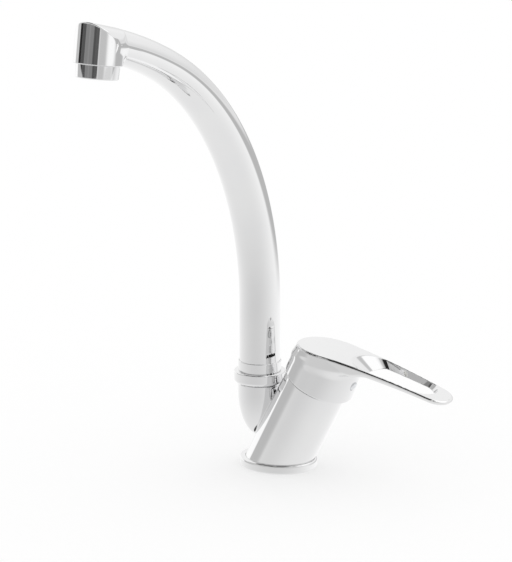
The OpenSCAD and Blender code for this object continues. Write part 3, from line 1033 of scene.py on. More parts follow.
@dataclass
class BodyCasting:
    """The leaning body with its upright branch, the ring at its foot and the deck seal."""

    radius: float = 21.5
    rim_rounding: float = 0.6
    chamber_r: float = 17.6
    chamber_depth: float = 36.0
    floor: float = 2.0
    branch_r: float = 14.6
    branch_top: float = 55.5
    branch_bulb: float = 31.0
    branch_straight: float = 6.0
    crease: float = 0.9
    neck_h: float = 2.5
    socket_r: float = 9.08
    socket_depth: float = 21.5
    well_r: float = 5.0
    well_depth: float = 6.0
    way_r: float = 3.4
    inlet_r: float = 4.5
    inlet_depth: float = 12.0
    inlet_y: float = 10.0
    stud_r: float = 3.4
    stud_depth: float = 14.0
    port_front: float = 4.5
    port_side: float = 8.0
    port_back: float = -9.0
    foot_h: float = 6.2
    foot_shift: float = 1.7
    foot_half_x: float = 26.83
    foot_half_y: float = 23.8
    foot_top_rounding: float = 1.7
    foot_low_rounding: float = 1.3
    foot_hole_r: float = 17.3
    seal_inset: float = 0.6
    seal_w: float = 2.6
    seal_t: float = 1.2
    body_skin: Skin = Skin(0.6)
    body_box: Box = ((-30, -23, 1), (53, 23, 73))
    foot_skin: Skin = Skin(0.42)
    foot_box: Box = ((-27, -25.4, -1.05), (30, 25.4, 7.4))

    def branch(self) -> Form:
        """The branch: a straight shoulder over a long rounded bulb.

        Returns:
            The form.
        """
        widest = self.branch_top - self.branch_straight

        def rule(p: Points) -> Points:
            """Distance to the bulb, with the shoulder carried on upwards.

            Args:
                p: Points of the deck's frame.

            Returns:
                The distance at each.
            """
            q = SPOUT_AXIS.seen(p)
            reach, drop = np.hypot(q[:, 0], q[:, 1]), np.minimum(q[:, 2] - widest, 0)
            return oval(reach, drop, self.branch_r, self.branch_bulb)

        return Form(rule).common(below(Placement((0, 0, self.branch_top))), 0.5)

    def outside(self) -> Form:
        """The casting before its bores.

        Returns:
            The form.
        """
        bar = rod(LEANING, self.radius).common(below(LEANING.moved(z=BODY_LEN)), self.rim_rounding)
        neck = rod(SPOUT_AXIS, NECK_R, self.branch_top - 2, self.branch_top + self.neck_h)
        return bar.joined(self.branch(), self.crease).joined(neck)

    def body_form(self) -> Form:
        """The casting with its chamber, socket, water ways and tappings.

        Returns:
            The form.
        """
        chamber_floor = BODY_LEN - self.chamber_depth
        socket_z = self.branch_top - self.socket_depth
        inlet_top = self.floor + self.inlet_depth
        spots = [(self.port_front, self.port_side), (self.port_front, -self.port_side), (self.port_back, 0)]
        ports = LEANING.deck(np.array([(*spot, chamber_floor + 1) for spot in spots]))
        form = self.outside().without(rod(LEANING, self.chamber_r, chamber_floor), 0.4)
        form = form.without(rod(SPOUT_AXIS, self.socket_r, socket_z), 0.3)
        form = form.without(rod(SPOUT_AXIS, self.well_r, socket_z - self.well_depth, socket_z + 1))
        form = form.without(passage(ports[2], (-BRANCH_X, 0, socket_z - 4), self.way_r))
        for y, port in zip((self.inlet_y, -self.inlet_y), ports):
            form = form.without(rod(Placement((0, y, 0)), self.inlet_r, -PAST, inlet_top))
            form = form.without(passage((0, y, inlet_top - 2), port, self.way_r))
        form = form.without(rod(DECK, self.stud_r, -PAST, self.floor + self.stud_depth))
        return form.common(above(self.floor))

    def foot_form(self) -> Form:
        """The oval ring with rounded rims, round the body's foot.

        Returns:
            The form.
        """

        def plan(p: Points) -> Points:
            """Distance to the ring's outline, at any height."""
            return oval(p[:, 0] - self.foot_shift, p[:, 1], self.foot_half_x, self.foot_half_y)

        form = Form(plan).common(below(Placement((0, 0, self.foot_h))), self.foot_top_rounding)
        form = form.common(above(0), self.foot_low_rounding)
        form = form.without(rod(LEANING, self.radius + PLAY).common(above(self.floor)))
        seal_in = self.foot_hole_r + self.seal_inset
        groove = rod(DECK, seal_in + self.seal_w, -PAST, self.seal_t).without(rod(DECK, seal_in))
        return form.without(rod(DECK, self.foot_hole_r)).without(groove)

    def build(self, bench: Bench) -> None:
        """Makes the casting and the ring, and dresses the seal.

        Args:
            bench: Where pieces are made.
        """
        body = self.body_skin.made(self.body_form(), self.body_box)
        bench.piece("mixer_body_casting", body, CHROME, Rides.BASE, "mixer_body")
        foot = self.foot_skin.made(self.foot_form(), self.foot_box)
        bench.piece("foot_ring_polished", foot, CHROME, Rides.BASE, "foot_ring")
        bench.carry_over(RUBBER, "deck_seal")


@dataclass
class SwivelJoint:
    """The nut, slip washers, spigot, seals and sleeve on which the spout turns."""

    nut_z: float = 56.0
    nut_h: float = 8.0
    nut_r: float = 17.3
    nut_rounding: float = 2.4
    nut_top_rounding: float = 0.9
    nut_lip_z: float = 62.15
    nut_hole_r: float = 10.4
    sleeve_z: float = 64.08
    sleeve_floor: float = 0.92
    sleeve_h: float = 6.92
    sleeve_r: float = 14.5
    sleeve_hole_r: float = 12.27

    def nut(self) -> Turning:
        """The rounded swivel nut.

        Returns:
            Its profile.
        """
        top, bore = self.nut_z + self.nut_h, NECK_R + PLAY
        return Turning(
            profile(
                (bore, self.nut_z, 0.3),
                (self.nut_r, self.nut_z, self.nut_rounding),
                (self.nut_r, top, self.nut_top_rounding),
                (self.nut_hole_r, top, 0.3),
                (self.nut_hole_r, self.nut_lip_z, 0.2),
                (bore, self.nut_lip_z),
            )
        )

    def sleeve(self) -> Turning:
        """The short sleeve at the tube's foot.

        Returns:
            Its profile.
        """
        bore, top = TUBE_R + PLAY, self.sleeve_z + self.sleeve_h
        floor = self.sleeve_z + self.sleeve_floor
        return Turning(
            profile(
                (self.sleeve_hole_r, self.sleeve_z, 0.1),
                (self.sleeve_r, self.sleeve_z, 0.15),
                (self.sleeve_r, top, 0.35),
                (bore, top, 0.15),
                (bore, floor),
                (self.sleeve_hole_r, floor, 0.1),
            )
        )

    def build(self, bench: Bench) -> None:
        """Makes the nut and the sleeve, and dresses what is inside them.

        Args:
            bench: Where pieces are made.
        """
        bench.piece("swivel_nut_turned", self.nut().made(SPOUT_AXIS), CHROME, Rides.BASE, "swivel_nut")
        bench.piece("collar_sleeve_turned", self.sleeve().made(SPOUT_AXIS), CHROME, Rides.SPOUT, "collar_sleeve")
        bench.carry_over(ACETAL, "lower_slip_washer", "upper_slip_washer")
        bench.carry_over(BRASS, "spout_spigot")
        bench.carry_over(RUBBER, "spigot_seals")


@dataclass
class Spout:
    """The swept tube, its outlet head and the aerator."""

    end_half: float = 10.7
    wall: float = 1.3
    foot_z: float = 65.0
    bend_z: float = 108.9
    bend_r: float = 200.0
    bend_a: float = 65.0
    bend2_r: float = 333.0
    bend2_a: float = 10.0
    end_len: float = 6.7
    flat_from: float = 22.0
    pace: float = 1.0  # between the points of the middle line
    rings: int = 230
    sides: int = 96
    head_r: float = 15.3
    head_drop: float = 13.2
    head_tilt: float = 9.0
    head_edge: float = 0.25
    head_overlap: float = 0.3
    crown_grow: float = 0.25
    crown_edge: float = 0.9
    neck_grow: float = 0.03
    neck_reach: float = 22.0
    neck_fillet: float = 3.0
    neck_fillet_least: float = 0.2
    fillet_from: float = 10.0
    fillet_fade: float = 12.0
    bore_step: float = 1.4
    bore_top: float = 4.0
    arm_wall: float = 2.4
    arm_bore: float = 40.0
    cutter: float = 60.0
    seat_r: float = 12.0
    seat_depth: float = 9.0
    ring_r: float = 13.6
    ring_h: float = 8.7
    ring_wall: float = 1.2
    ring_rounding: float = 0.7
    ring_draft: float = 0.4
    lip_h: float = 2.0
    wire: float = 0.16
    wire_pitch: float = 0.85
    rim_wire: float = 2.2
    screen_gap: float = 0.45
    screen_t: float = 0.8
    insert_h: float = 9.0
    head_skin: Skin = Skin(0.42)
    head_box: Box = ((-16.8, -16.8, -15.5), (16.8, 24.5, 15.5))

    @property
    def whole_a(self) -> float:
        """Turn of the tube from its foot to its end."""
        return self.bend_a + self.bend2_a

    def middle_line(self) -> Points:
        """Reach and height along the tube's middle line.

        Returns:
            The points, from the foot to the middle of the head.
        """
        first, whole = math.radians(self.bend_a), math.radians(self.whole_a)
        rise = np.linspace(0, 1, round((self.bend_z - self.foot_z) / self.pace))[:-1]
        straight = np.stack([0 * rise, self.foot_z + rise * (self.bend_z - self.foot_z)], 1)
        turn = np.linspace(0, first, round(first * self.bend_r / self.pace))
        bend = np.stack([self.bend_r * (1 - np.cos(turn)), self.bend_z + self.bend_r * np.sin(turn)], 1)
        turn = np.linspace(first, whole, round((whole - first) * self.bend2_r / self.pace))[1:]
        wide = bend[-1] + self.bend2_r * np.stack([np.cos(first) - np.cos(turn), np.sin(turn) - np.sin(first)], 1)
        out = np.linspace(0, 1, 8)[1:, None] * self.end_len
        end = wide[-1] + out * np.array([math.sin(whole), math.cos(whole)])
        return np.concatenate([straight, bend, wide, end])

    @property
    def head(self) -> Placement:
        """Axes of the outlet head, Z along its axis."""
        reach, height = self.middle_line()[-1]
        return Placement((-BRANCH_X, -reach, height)).pitched(-self.head_tilt)

    @property
    def arm(self) -> Placement:
        """Axes at the head's middle with -Y along the arm."""
        return Placement(self.head.origin).pitched(self.whole_a - 90)

    def tube_tree(self) -> bpy.types.NodeTree:
        """Geometry nodes that sweep the tube's wall along its middle line.

        A flat grid is wrapped: its rows run out along the outside and back along the inside, its columns run round
        the section, and each point is set on the middle line's own normal and side.

        Returns:
            The node tree.
        """
        numbers = ("Tube radius", "End half height", "Wall", "Flat from", "Flat to", "Head radius", "Head slant")
        recipe = MeshRecipe("swept_spout_tube", numbers, ("Rings", "Sides"))
        board = recipe.board
        tube_r, end_half, wall, flat_from, flat_to, head_r, slant, rings, sides = recipe.given.values()
        size = {"Size X": 1.0, "Size Y": 1.0, "Vertices X": 2 * rings + 1, "Vertices Y": sides + 1}
        grid = board.add("MeshGrid", None, size)
        apart = board.add("SeparateXYZ", None, {0: board.add("InputPosition")})
        row = board.math("MODULO", board.math("ROUND", (board.tone(apart, 0) + 0.5) * (2 * rings)), 2 * rings)
        inner = board.math("GREATER_THAN", row, rings - 0.5)
        along = (inner * (2 * rings - 1 - row) + (1 - inner) * row) / (rings - 1)
        angle = (board.tone(apart, 1) + 0.5) * (2 * math.pi)
        inset = inner * wall
        across = board.math("COSINE", angle) * (tube_r - inset)
        rise = board.math("SINE", angle)
        end_rise = rise * (end_half - inset)
        chord = (head_r * head_r - across * across).most(0.0).root()
        back = (chord - board.math("COSINE", slant) * end_rise) / board.math("SINE", slant)
        line = board.add("MeshToCurve", None, {0: recipe.inputs})
        reach = along * (board.tone(board.add("CurveLength", None, {0: line})) - back)
        sample = board.add("SampleCurve", {"mode": "LENGTH"}, {"Curves": line, "Length": reach})
        tangent = sample.outputs["Tangent"]
        upright = board.tone(board.vector("DOT_PRODUCT", tangent, (0.0, 0.0, 1.0)), "Value")
        turned = board.math("ARCCOSINE", board.math("MINIMUM", upright, 1.0))
        up = rise * (turned.ramp(flat_from, flat_to, tube_r, end_half) - inset)
        normal = board.vector("CROSS_PRODUCT", tangent, (1.0, 0.0, 0.0))
        lifted = board.add("VectorMath", {"operation": "SCALE"}, {0: normal, "Scale": up})
        shifted = board.vector("ADD", lifted, board.add("CombineXYZ", None, {0: across}))
        place = board.vector("ADD", shifted, sample.outputs["Position"])
        wrapped = board.add("SetPosition", None, {"Geometry": grid, "Position": place})
        return recipe.finished(board.add("MergeByDistance", None, {"Geometry": wrapped, "Distance": 0.00001}))

    def tube(self, bench: Bench) -> bpy.types.Mesh:
        """The tube as a plain mesh.

        Args:
            bench: Where materials are kept.

        Returns:
            The mesh.
        """
        line = self.middle_line()
        points = np.stack([np.full(len(line), -BRANCH_X), -line[:, 0], line[:, 1]], 1) * MM
        guide = bpy.data.meshes.new("spout_middle_line")
        guide.from_pydata(points.tolist(), [(k, k + 1) for k in range(len(points) - 1)], [])
        sizes = {
            "Tube radius": TUBE_R * MM,
            "End half height": self.end_half * MM,
            "Wall": self.wall * MM,
            "Flat from": math.radians(self.flat_from),
            "Flat to": math.radians(self.whole_a),
            "Head radius": (self.head_r - self.head_overlap) * MM,
            "Head slant": math.radians(self.whole_a + self.head_tilt),
            "Rings": self.rings,
            "Sides": self.sides,
            "Finish": bench.dressed(CHROME),
        }
        return grown("spout_tube_swept", guide, self.tube_tree(), sizes)

    def head_form(self) -> Form:
        """The outlet head: an upright cup whose top follows the arm's flattened section.

        Returns:
            The form.
        """
        head, arm = self.head, self.arm

        def top(p: Points) -> Points:
            """Distance to the arm's section carried over the head, which cuts only above its middle.

            Args:
                p: Points of the deck's frame.

            Returns:
                The distance at each.
            """
            q = arm.seen(p)
            crown = oval(q[:, 0], q[:, 2], self.head_r + self.crown_grow, self.end_half)
            return np.where(q[:, 2] > 0, crown, -5.0)

        def neck(p: Points) -> Points:
            """Distance to the stub that laps over the tube's end.

            Args:
                p: Points of the deck's frame.

            Returns:
                The distance at each.
            """
            q = arm.seen(p)
            sag = np.maximum(q[:, 1] - self.end_len, 0) ** 2 / (2 * self.bend2_r)
            tube = oval(q[:, 0], q[:, 2] + sag, TUBE_R + self.neck_grow, self.end_half + self.neck_grow)
            return np.maximum(tube, np.maximum(-q[:, 1], q[:, 1] - self.neck_reach))

        def blend(p: Points) -> Points:
            """Radius of the fillet, which grows from the arm's top to its underside."""
            share = ease((self.fillet_from - arm.seen(p)[:, 2]) / self.fillet_fade)
            return self.neck_fillet_least + (self.neck_fillet - self.neck_fillet_least) * share

        cup = rod(head, self.head_r).common(Form(lambda p: -head.seen(p)[:, 2] - self.head_drop), self.head_edge)
        form = cup.common(Form(top), self.crown_edge).joined(Form(neck), blend)
        form = form.without(rod(head, self.seat_r, -self.cutter, self.seat_depth - self.head_drop))
        form = form.without(rod(head, self.seat_r - self.bore_step, -self.cutter, self.bore_top))
        bore = Placement(arm.origin).pitched(self.whole_a - 90 - 90)
        return form.without(rod(bore, self.end_half - self.arm_wall, 0, self.arm_bore))

    def aerator_ring(self) -> Turning:
        """The visible ring with the sleeve that screws into the head.

        Returns:
            Its profile.
        """
        inside, outside = self.seat_r - self.ring_wall, self.seat_r - PLAY
        top, lip = self.seat_depth - 3, self.lip_h - self.ring_h
        return Turning(
            profile(
                (inside - self.ring_wall, -self.ring_h, 0.4),
                (self.ring_r - self.ring_draft, -self.ring_h, self.ring_rounding),
                (self.ring_r, -PLAY, 0.35),
                (outside, -PLAY),
                (outside, top, 0.2),
                (inside, top),
                (inside, lip),
                (inside - self.ring_wall, lip),
            )
        )

    def screen_tree(self) -> bpy.types.NodeTree:
        """Geometry nodes that weave the aerator's wire screen and trim it to its round frame.

        Returns:
            The node tree.
        """
        recipe = MeshRecipe("woven_screen", ("Pitch", "Wire radius", "Screen radius"), ("Wires",))
        board = recipe.board
        pitch, wire, screen, wires = recipe.given.values()
        row = board.add("MeshLine", {"mode": "OFFSET"}, {"Count": wires, "Offset": (1.0, 0.0, 0.0)})
        index = board.tone(board.add("InputIndex"))
        offset = (index - (wires - 1) * 0.5) * pitch
        half = (screen * screen - offset * offset).most(wire * wire).root()
        spot = board.add("CombineXYZ", None, {0: offset})
        set_row = board.add("SetPosition", None, {"Geometry": row, "Position": spot})
        kept = {"Geometry": set_row, "Name": "half", "Value": half}
        kept_half = board.add("StoreNamedAttribute", {"data_type": "FLOAT", "domain": "POINT"}, kept)
        strand = board.add("CurvePrimitiveLine", None, {"Start": (0.0, -1.0, 0.0), "End": (0.0, 1.0, 0.0)})
        fine = board.add("ResampleCurve", None, {"Curve": strand, "Count": 56})
        strands = board.add("InstanceOnPoints", None, {"Points": kept_half, "Instance": fine})
        own_half = board.add("InputNamedAttribute", {"data_type": "FLOAT"}, {"Name": "half"})
        scale = board.add("CombineXYZ", None, {0: 1.0, 1: own_half, 2: 1.0})
        scaled = board.add("ScaleInstances", None, {"Instances": strands, "Scale": scale})
        flat = board.add("RealizeInstances", None, {0: scaled})
        apart = board.add("SeparateXYZ", None, {0: board.add("InputPosition")})
        turns = [(board.tone(apart, k) / pitch + (wires - 1) * 0.5) * math.pi for k in (0, 1)]
        wave = board.math("COSINE", turns[1]) * board.math("COSINE", turns[0]) * wire
        weave = board.add("CombineXYZ", None, {2: wave})
        waved = board.add("SetPosition", None, {"Geometry": flat, "Offset": weave})
        ring = board.add("CurvePrimitiveCircle", None, {"Resolution": 6, "Radius": wire})
        woven = board.add("CurveToMesh", None, {"Curve": waved, "Profile Curve": ring, "Fill Caps": True})
        crossing = board.add("Transform", None, {"Geometry": woven, "Rotation": (math.pi, 0.0, math.pi / 2)})
        rim_line = board.add("CurvePrimitiveCircle", None, {"Resolution": 96, "Radius": screen})
        rim_ring = board.add("CurvePrimitiveCircle", None, {"Resolution": 10, "Radius": wire * self.rim_wire})
        rim = board.add("CurveToMesh", None, {"Curve": rim_line, "Profile Curve": rim_ring})
        whole = board.add("JoinGeometry")
        for part in (woven, crossing, rim):
            board.feed(whole.inputs[0], part)
        return recipe.finished(whole)

    def screen(self, bench: Bench) -> bpy.types.Mesh:
        """The woven screen, in its place over the insert.

        Args:
            bench: Where materials are kept.

        Returns:
            The mesh.
        """
        radius = self.seat_r - self.ring_wall - PLAY - self.screen_gap
        sizes = {
            "Pitch": self.wire_pitch * MM,
            "Wire radius": self.wire * MM,
            "Screen radius": radius * MM,
            "Wires": 2 * int(radius / self.wire_pitch) + 1,
            "Finish": bench.dressed(STEEL),
        }
        mesh = grown("aerator_screen_woven", bpy.data.meshes.new("screen_start"), self.screen_tree(), sizes)
        height = -self.head_drop - self.ring_h + self.lip_h + self.insert_h + self.screen_t / 2
        points = read_points(mesh) / MM + np.array([0, 0, height])
        mesh.vertices.foreach_set("co", (self.head.deck(points) * MM).ravel())
        mesh.update()
        return mesh

    def build(self, bench: Bench) -> None:
        """Makes the tube, the head, the aerator's ring and its screen.

        Args:
            bench: Where pieces are made.
        """
        bench.place(self.tube(bench), CHROME, Rides.SPOUT, "spout_tube")
        head = self.head_skin.made(self.head_form(), self.head_box, self.head)
        bench.piece("outlet_head_cast", head, CHROME, Rides.SPOUT, "outlet_head")
        ring = self.aerator_ring().made(self.head.moved(z=-self.head_drop))
        bench.piece("aerator_ring_turned", ring, CHROME, Rides.SPOUT, "aerator_housing")
        bench.place(self.screen(bench), STEEL, Rides.SPOUT, "aerator_screen")
        bench.carry_over(ACETAL, "aerator_insert")
        bench.carry_over(RUBBER, "aerator_washer")


@dataclass
class LeverHandle:
    """The skirt and slotted lever in one casting, with its plug, stem and set screw."""

    handle_h: float = 28.0
    rise: float = 18.0
    curve_r: float = 625.0
    crown_r: float = 500.0
    skirt_gap: float = 1.5
    skirt_r: float = 24.3
    skirt_shift: float = 1.4
    wall: float = 1.5
    ceiling: float = 9.0
    roof: float = 1.3
    rim_rounding: float = 0.9
    hub_x: float = 25.2
    hub_y: float = 19.4
    length: float = 91.7
    half_end: float = 12.3
    thick_end: float = 3.7
    thick_slope: float = 0.02
    thick_hub: float = 3.4
    hub_end: float = 36.0
    hub_fade: float = 14.0
    slot_first: float = 32.0
    slot_last: float = 68.0
    slot_rim: float = 1.3
    slot_draft: float = 4.8
    slot_below: float = 1.6
    slot_low_first: float = 39.5
    slot_low_last: float = 66.5
    slot_slant: float = 0.78
    bevel: float = 0.8
    bevel_side: float = 0.62
    bevel_top: float = 0.78
    under_edge: float = 3.2
    slot_edge: float = 0.45
    fillet: float = 6.0
    fillet_least: float = 0.3
    fillet_fade: float = 7.0
    stem_lean: float = 12.5
    stem_w: float = 7.6
    stem_top: float = 40.0
    boss_r: float = 8.5
    boss_start: float = 26.6
    screw_at: float = 33.0
    screw_r: float = 2.5
    screw_end: float = 10.8
    plug_r: float = 3.1
    plug_start: float = 15.0
    plug_at: float = 15.4
    plug_ball: float = 4.1
    plug_steps: int = 8
    cutter: float = 60.0
    skin: Skin = Skin(0.5)
    box: Box = ((-33, -26, -39), (94, 26, 3))

    @property
    def top(self) -> Placement:
        """Axes of the handle's top, X along the lever."""
        return LEANING.moved(z=BODY_LEN + self.handle_h).tilted(-self.rise)

    @property
    def stem(self) -> Placement:
        """Axes of the stem at rest, from the pivot."""
        return LEANING.moved(z=PIVOT_L).tilted(self.stem_lean)

    @property
    def screw(self) -> Placement:
        """Axes of the set screw and the plug, Z outwards."""
        return self.stem.moved(z=self.screw_at).tilted(90)

    def skirt(self, grow: float) -> Form:
        """The skirt without ends: round at its lower edge and oval under the top.

        Args:
            grow: How far it is larger than the skirt's outside.

        Returns:
            The form.
        """
        start = BODY_LEN + self.skirt_gap
        top_x = self.hub_x * math.cos(math.radians(self.rise))

        def rule(p: Points) -> Points:
            """Distance to the skirt's section at each height.

            Args:
                p: Points of the deck's frame.

            Returns:
                The distance at each.
            """
            q = LEANING.seen(p)
            share = np.clip((q[:, 2] - start) / (self.handle_h - self.skirt_gap), -0.1, 1.0)
            half_x = self.skirt_r + (top_x - self.skirt_r) * share + grow
            half_y = self.skirt_r + (self.hub_y - self.skirt_r) * share + grow
            return oval(q[:, 0] - self.skirt_shift * (1 - share), q[:, 1], half_x, half_y)

        return Form(rule)

    def depth(self, q: Points) -> Points:
        """How far points seen from the top's axes lie under its curved surface."""
        return -(q[:, 2] + q[:, 0] ** 2 / (2 * self.curve_r) + q[:, 1] ** 2 / (2 * self.crown_r))

    def lever(self) -> Form:
        """The lever's outline and underside, without its top.

        Returns:
            The form.
        """

        def plan(p: Points) -> Points:
            """Distance to the outline: an oval hub and a tapering lever with a round end.

            Args:
                p: Points of the deck's frame.

            Returns:
                The distance at each.
            """
            q = self.top.seen(p)
            hub = oval(q[:, 0], q[:, 1], self.hub_x, self.hub_y)
            return np.minimum(hub, pill(q[:, 0], q[:, 1], self.length - self.half_end, self.hub_y, self.half_end))

        def under(p: Points) -> Points:
            """How far points lie under the underside.

            Args:
                p: Points of the deck's frame.

            Returns:
                The distance at each.
            """
            q = self.top.seen(p)
            thin = self.thick_end + self.thick_slope * (self.length - q[:, 0])
            return self.depth(q) - thin - self.thick_hub * ease((self.hub_end - q[:, 0]) / self.hub_fade)

        return Form(plan).common(Form(under), self.under_edge)

    def slot(self) -> Form:
        """The long slot, which narrows from the top to the underside.

        Returns:
            The form.
        """
        last = self.length - self.half_end

        def half(x: float) -> float:
            """Half the slot's width at the top, at a place along the lever."""
            return self.hub_y - (self.hub_y - self.half_end) * x / last - self.slot_rim

        first_r, last_r = half(self.slot_first), half(self.slot_last)

        def rule(p: Points) -> Points:
            """Distance to the slot's section at each depth.

            Args:
                p: Points of the deck's frame.

            Returns:
                The distance at each.
            """
            q = self.top.seen(p)
            share = np.clip(self.depth(q) / (self.thick_end + self.slot_below), -0.3, 1.3)
            first = self.slot_first + (self.slot_low_first - self.slot_first) * share
            span = self.slot_last + (self.slot_low_last - self.slot_last) * share - first
            wide, narrow = first_r - self.slot_draft * share, last_r - self.slot_draft / 2 * share
            return self.slot_slant * pill(q[:, 0] - first, q[:, 1], span, wide, narrow)

        return Form(rule)

    def form(self) -> Form:
        """The whole casting.

        Returns:
            The form.
        """
        crowned = Form(lambda p: -self.depth(self.top.seen(p)))
        over_rim = below(LEANING.moved(z=BODY_LEN + self.skirt_gap)).flipped()
        ceiling = below(LEANING.moved(z=BODY_LEN + self.handle_h - self.ceiling))
        roof = Form(lambda p: crowned(p) + self.thick_hub + self.thick_end + self.roof)

        def soft(p: Points) -> Points:
            """Radius of the fillet under the lever, which fades towards the top."""
            share = ease((-crowned(p) - 1.0) / self.fillet_fade)
            return self.fillet_least + (self.fillet - self.fillet_least) * share

        side = self.skirt(0).joined(self.lever(), soft)
        bevel = Form(lambda p: self.bevel_side * side(p) + self.bevel_top * crowned(p) + self.bevel)
        outside = side.common(crowned).common(bevel, 0.3).common(over_rim, self.rim_rounding)
        hollow = self.skirt(-self.wall).common(ceiling, 2.0).common(roof, 1.0)
        boss = rod(self.stem, self.boss_r, self.boss_start, self.stem_top + 4).common(self.skirt(-1))
        form = outside.without(hollow, 0.5).joined(boss, 0.6).common(crowned)
        form = form.without(self.slot(), self.slot_edge)
        half = self.stem_w / 2 + PLAY
        hole = block(self.stem, (-half, -half, self.boss_start - 2), (half, half, self.stem_top + 0.2))
        form = form.without(hole).without(rod(self.screw, self.screw_r + PLAY, 0, self.screw_end + 1))
        return form.without(rod(self.screw, self.plug_r, self.screw_end, self.cutter), 0.25)

    def plug(self) -> Turning:
        """The round plug with its domed face.

        Returns:
            Its profile.
        """
        r = self.plug_r - PLAY
        rise = math.sqrt(self.plug_ball**2 - r**2)
        rows = [(0.0, self.plug_start), (r, self.plug_start), (r, self.plug_at + rise)]
        for k in range(1, self.plug_steps):
            a = (1 - k / self.plug_steps) * math.asin(r / self.plug_ball)
            rows.append((self.plug_ball * math.sin(a), self.plug_at + self.plug_ball * math.cos(a)))
        return Turning(profile(*rows, (0.0, self.plug_at + self.plug_ball)), 64)

    def build(self, bench: Bench) -> None:
        """Makes the casting and its plug, and dresses the stem and the screw.

        Args:
            bench: Where pieces are made.
        """
        lever = self.skin.made(self.form(), self.box, self.top)
        bench.piece("lever_handle_cast", lever, CHROME, Rides.LEVER, "lever_handle")
        bench.piece("index_plug_cap", self.plug().made(self.screw), PLATED, Rides.LEVER, "index_plug")
        bench.carry_over(BRASS, "lever_stem")
        bench.carry_over(STEEL, "set_screw")


@dataclass
class Cartridge:
    """The 35 mm cartridge in the body, its nut and the domed trim over it."""

    dome_r: float = 25.4
    dome_wall: float = 1.6
    hole_r: float = 12.5
    steps: int = 16

    def zone(self, radius: float, start: float, end: float) -> list[Corner]:
        """Corners along a part of a circle about the pivot, between two angles in radians."""
        angles = [start + (end - start) * k / self.steps for k in range(self.steps + 1)]
        return [Corner(radius * math.cos(a), radius * math.sin(a)) for a in angles]

    def dome(self) -> Turning:
        """The trim: a zone of a hollow ball between the body's rim and the stem's hole.

        Returns:
            Its profile.
        """
        inner, height = self.dome_r - self.dome_wall, BODY_LEN - PIVOT_L
        outside = self.zone(self.dome_r, math.asin(height / self.dome_r), math.acos(self.hole_r / self.dome_r))
        inside = self.zone(inner, math.acos(self.hole_r / inner), math.asin(height / inner))
        return Turning([*outside, *inside])

    def build(self, bench: Bench) -> None:
        """Makes the domed trim and dresses the cartridge.

        Args:
            bench: Where pieces are made.
        """
        dome = self.dome().made(LEANING.moved(z=PIVOT_L))
        bench.piece("trim_dome_spun", dome, CHROME, Rides.BASE, "trim_dome")
        bench.carry_over(BLUE, "cartridge_housing", "cartridge_base")
        bench.carry_over(RUBBER, "port_seals")
        bench.carry_over(CERAMIC, "fixed_ceramic_disc", "moving_ceramic_disc")
        bench.carry_over(BRASS, "retaining_nut")
        bench.carry_over(ACETAL, "stem_guide")
        bench.carry_over(STEEL, "stem_pin")
        bench.carry_over(DARK, "disc_carrier")


# ---------------------------------------------------------------- the studio


@dataclass(frozen=True)
class Zone:
    """A patch of the room: its tone, its heights on the ball of directions, and its headings from the camera's."""

    tone: float
    low: float
    high: float
    soft: float
    start: float
    end: float
    blur: float


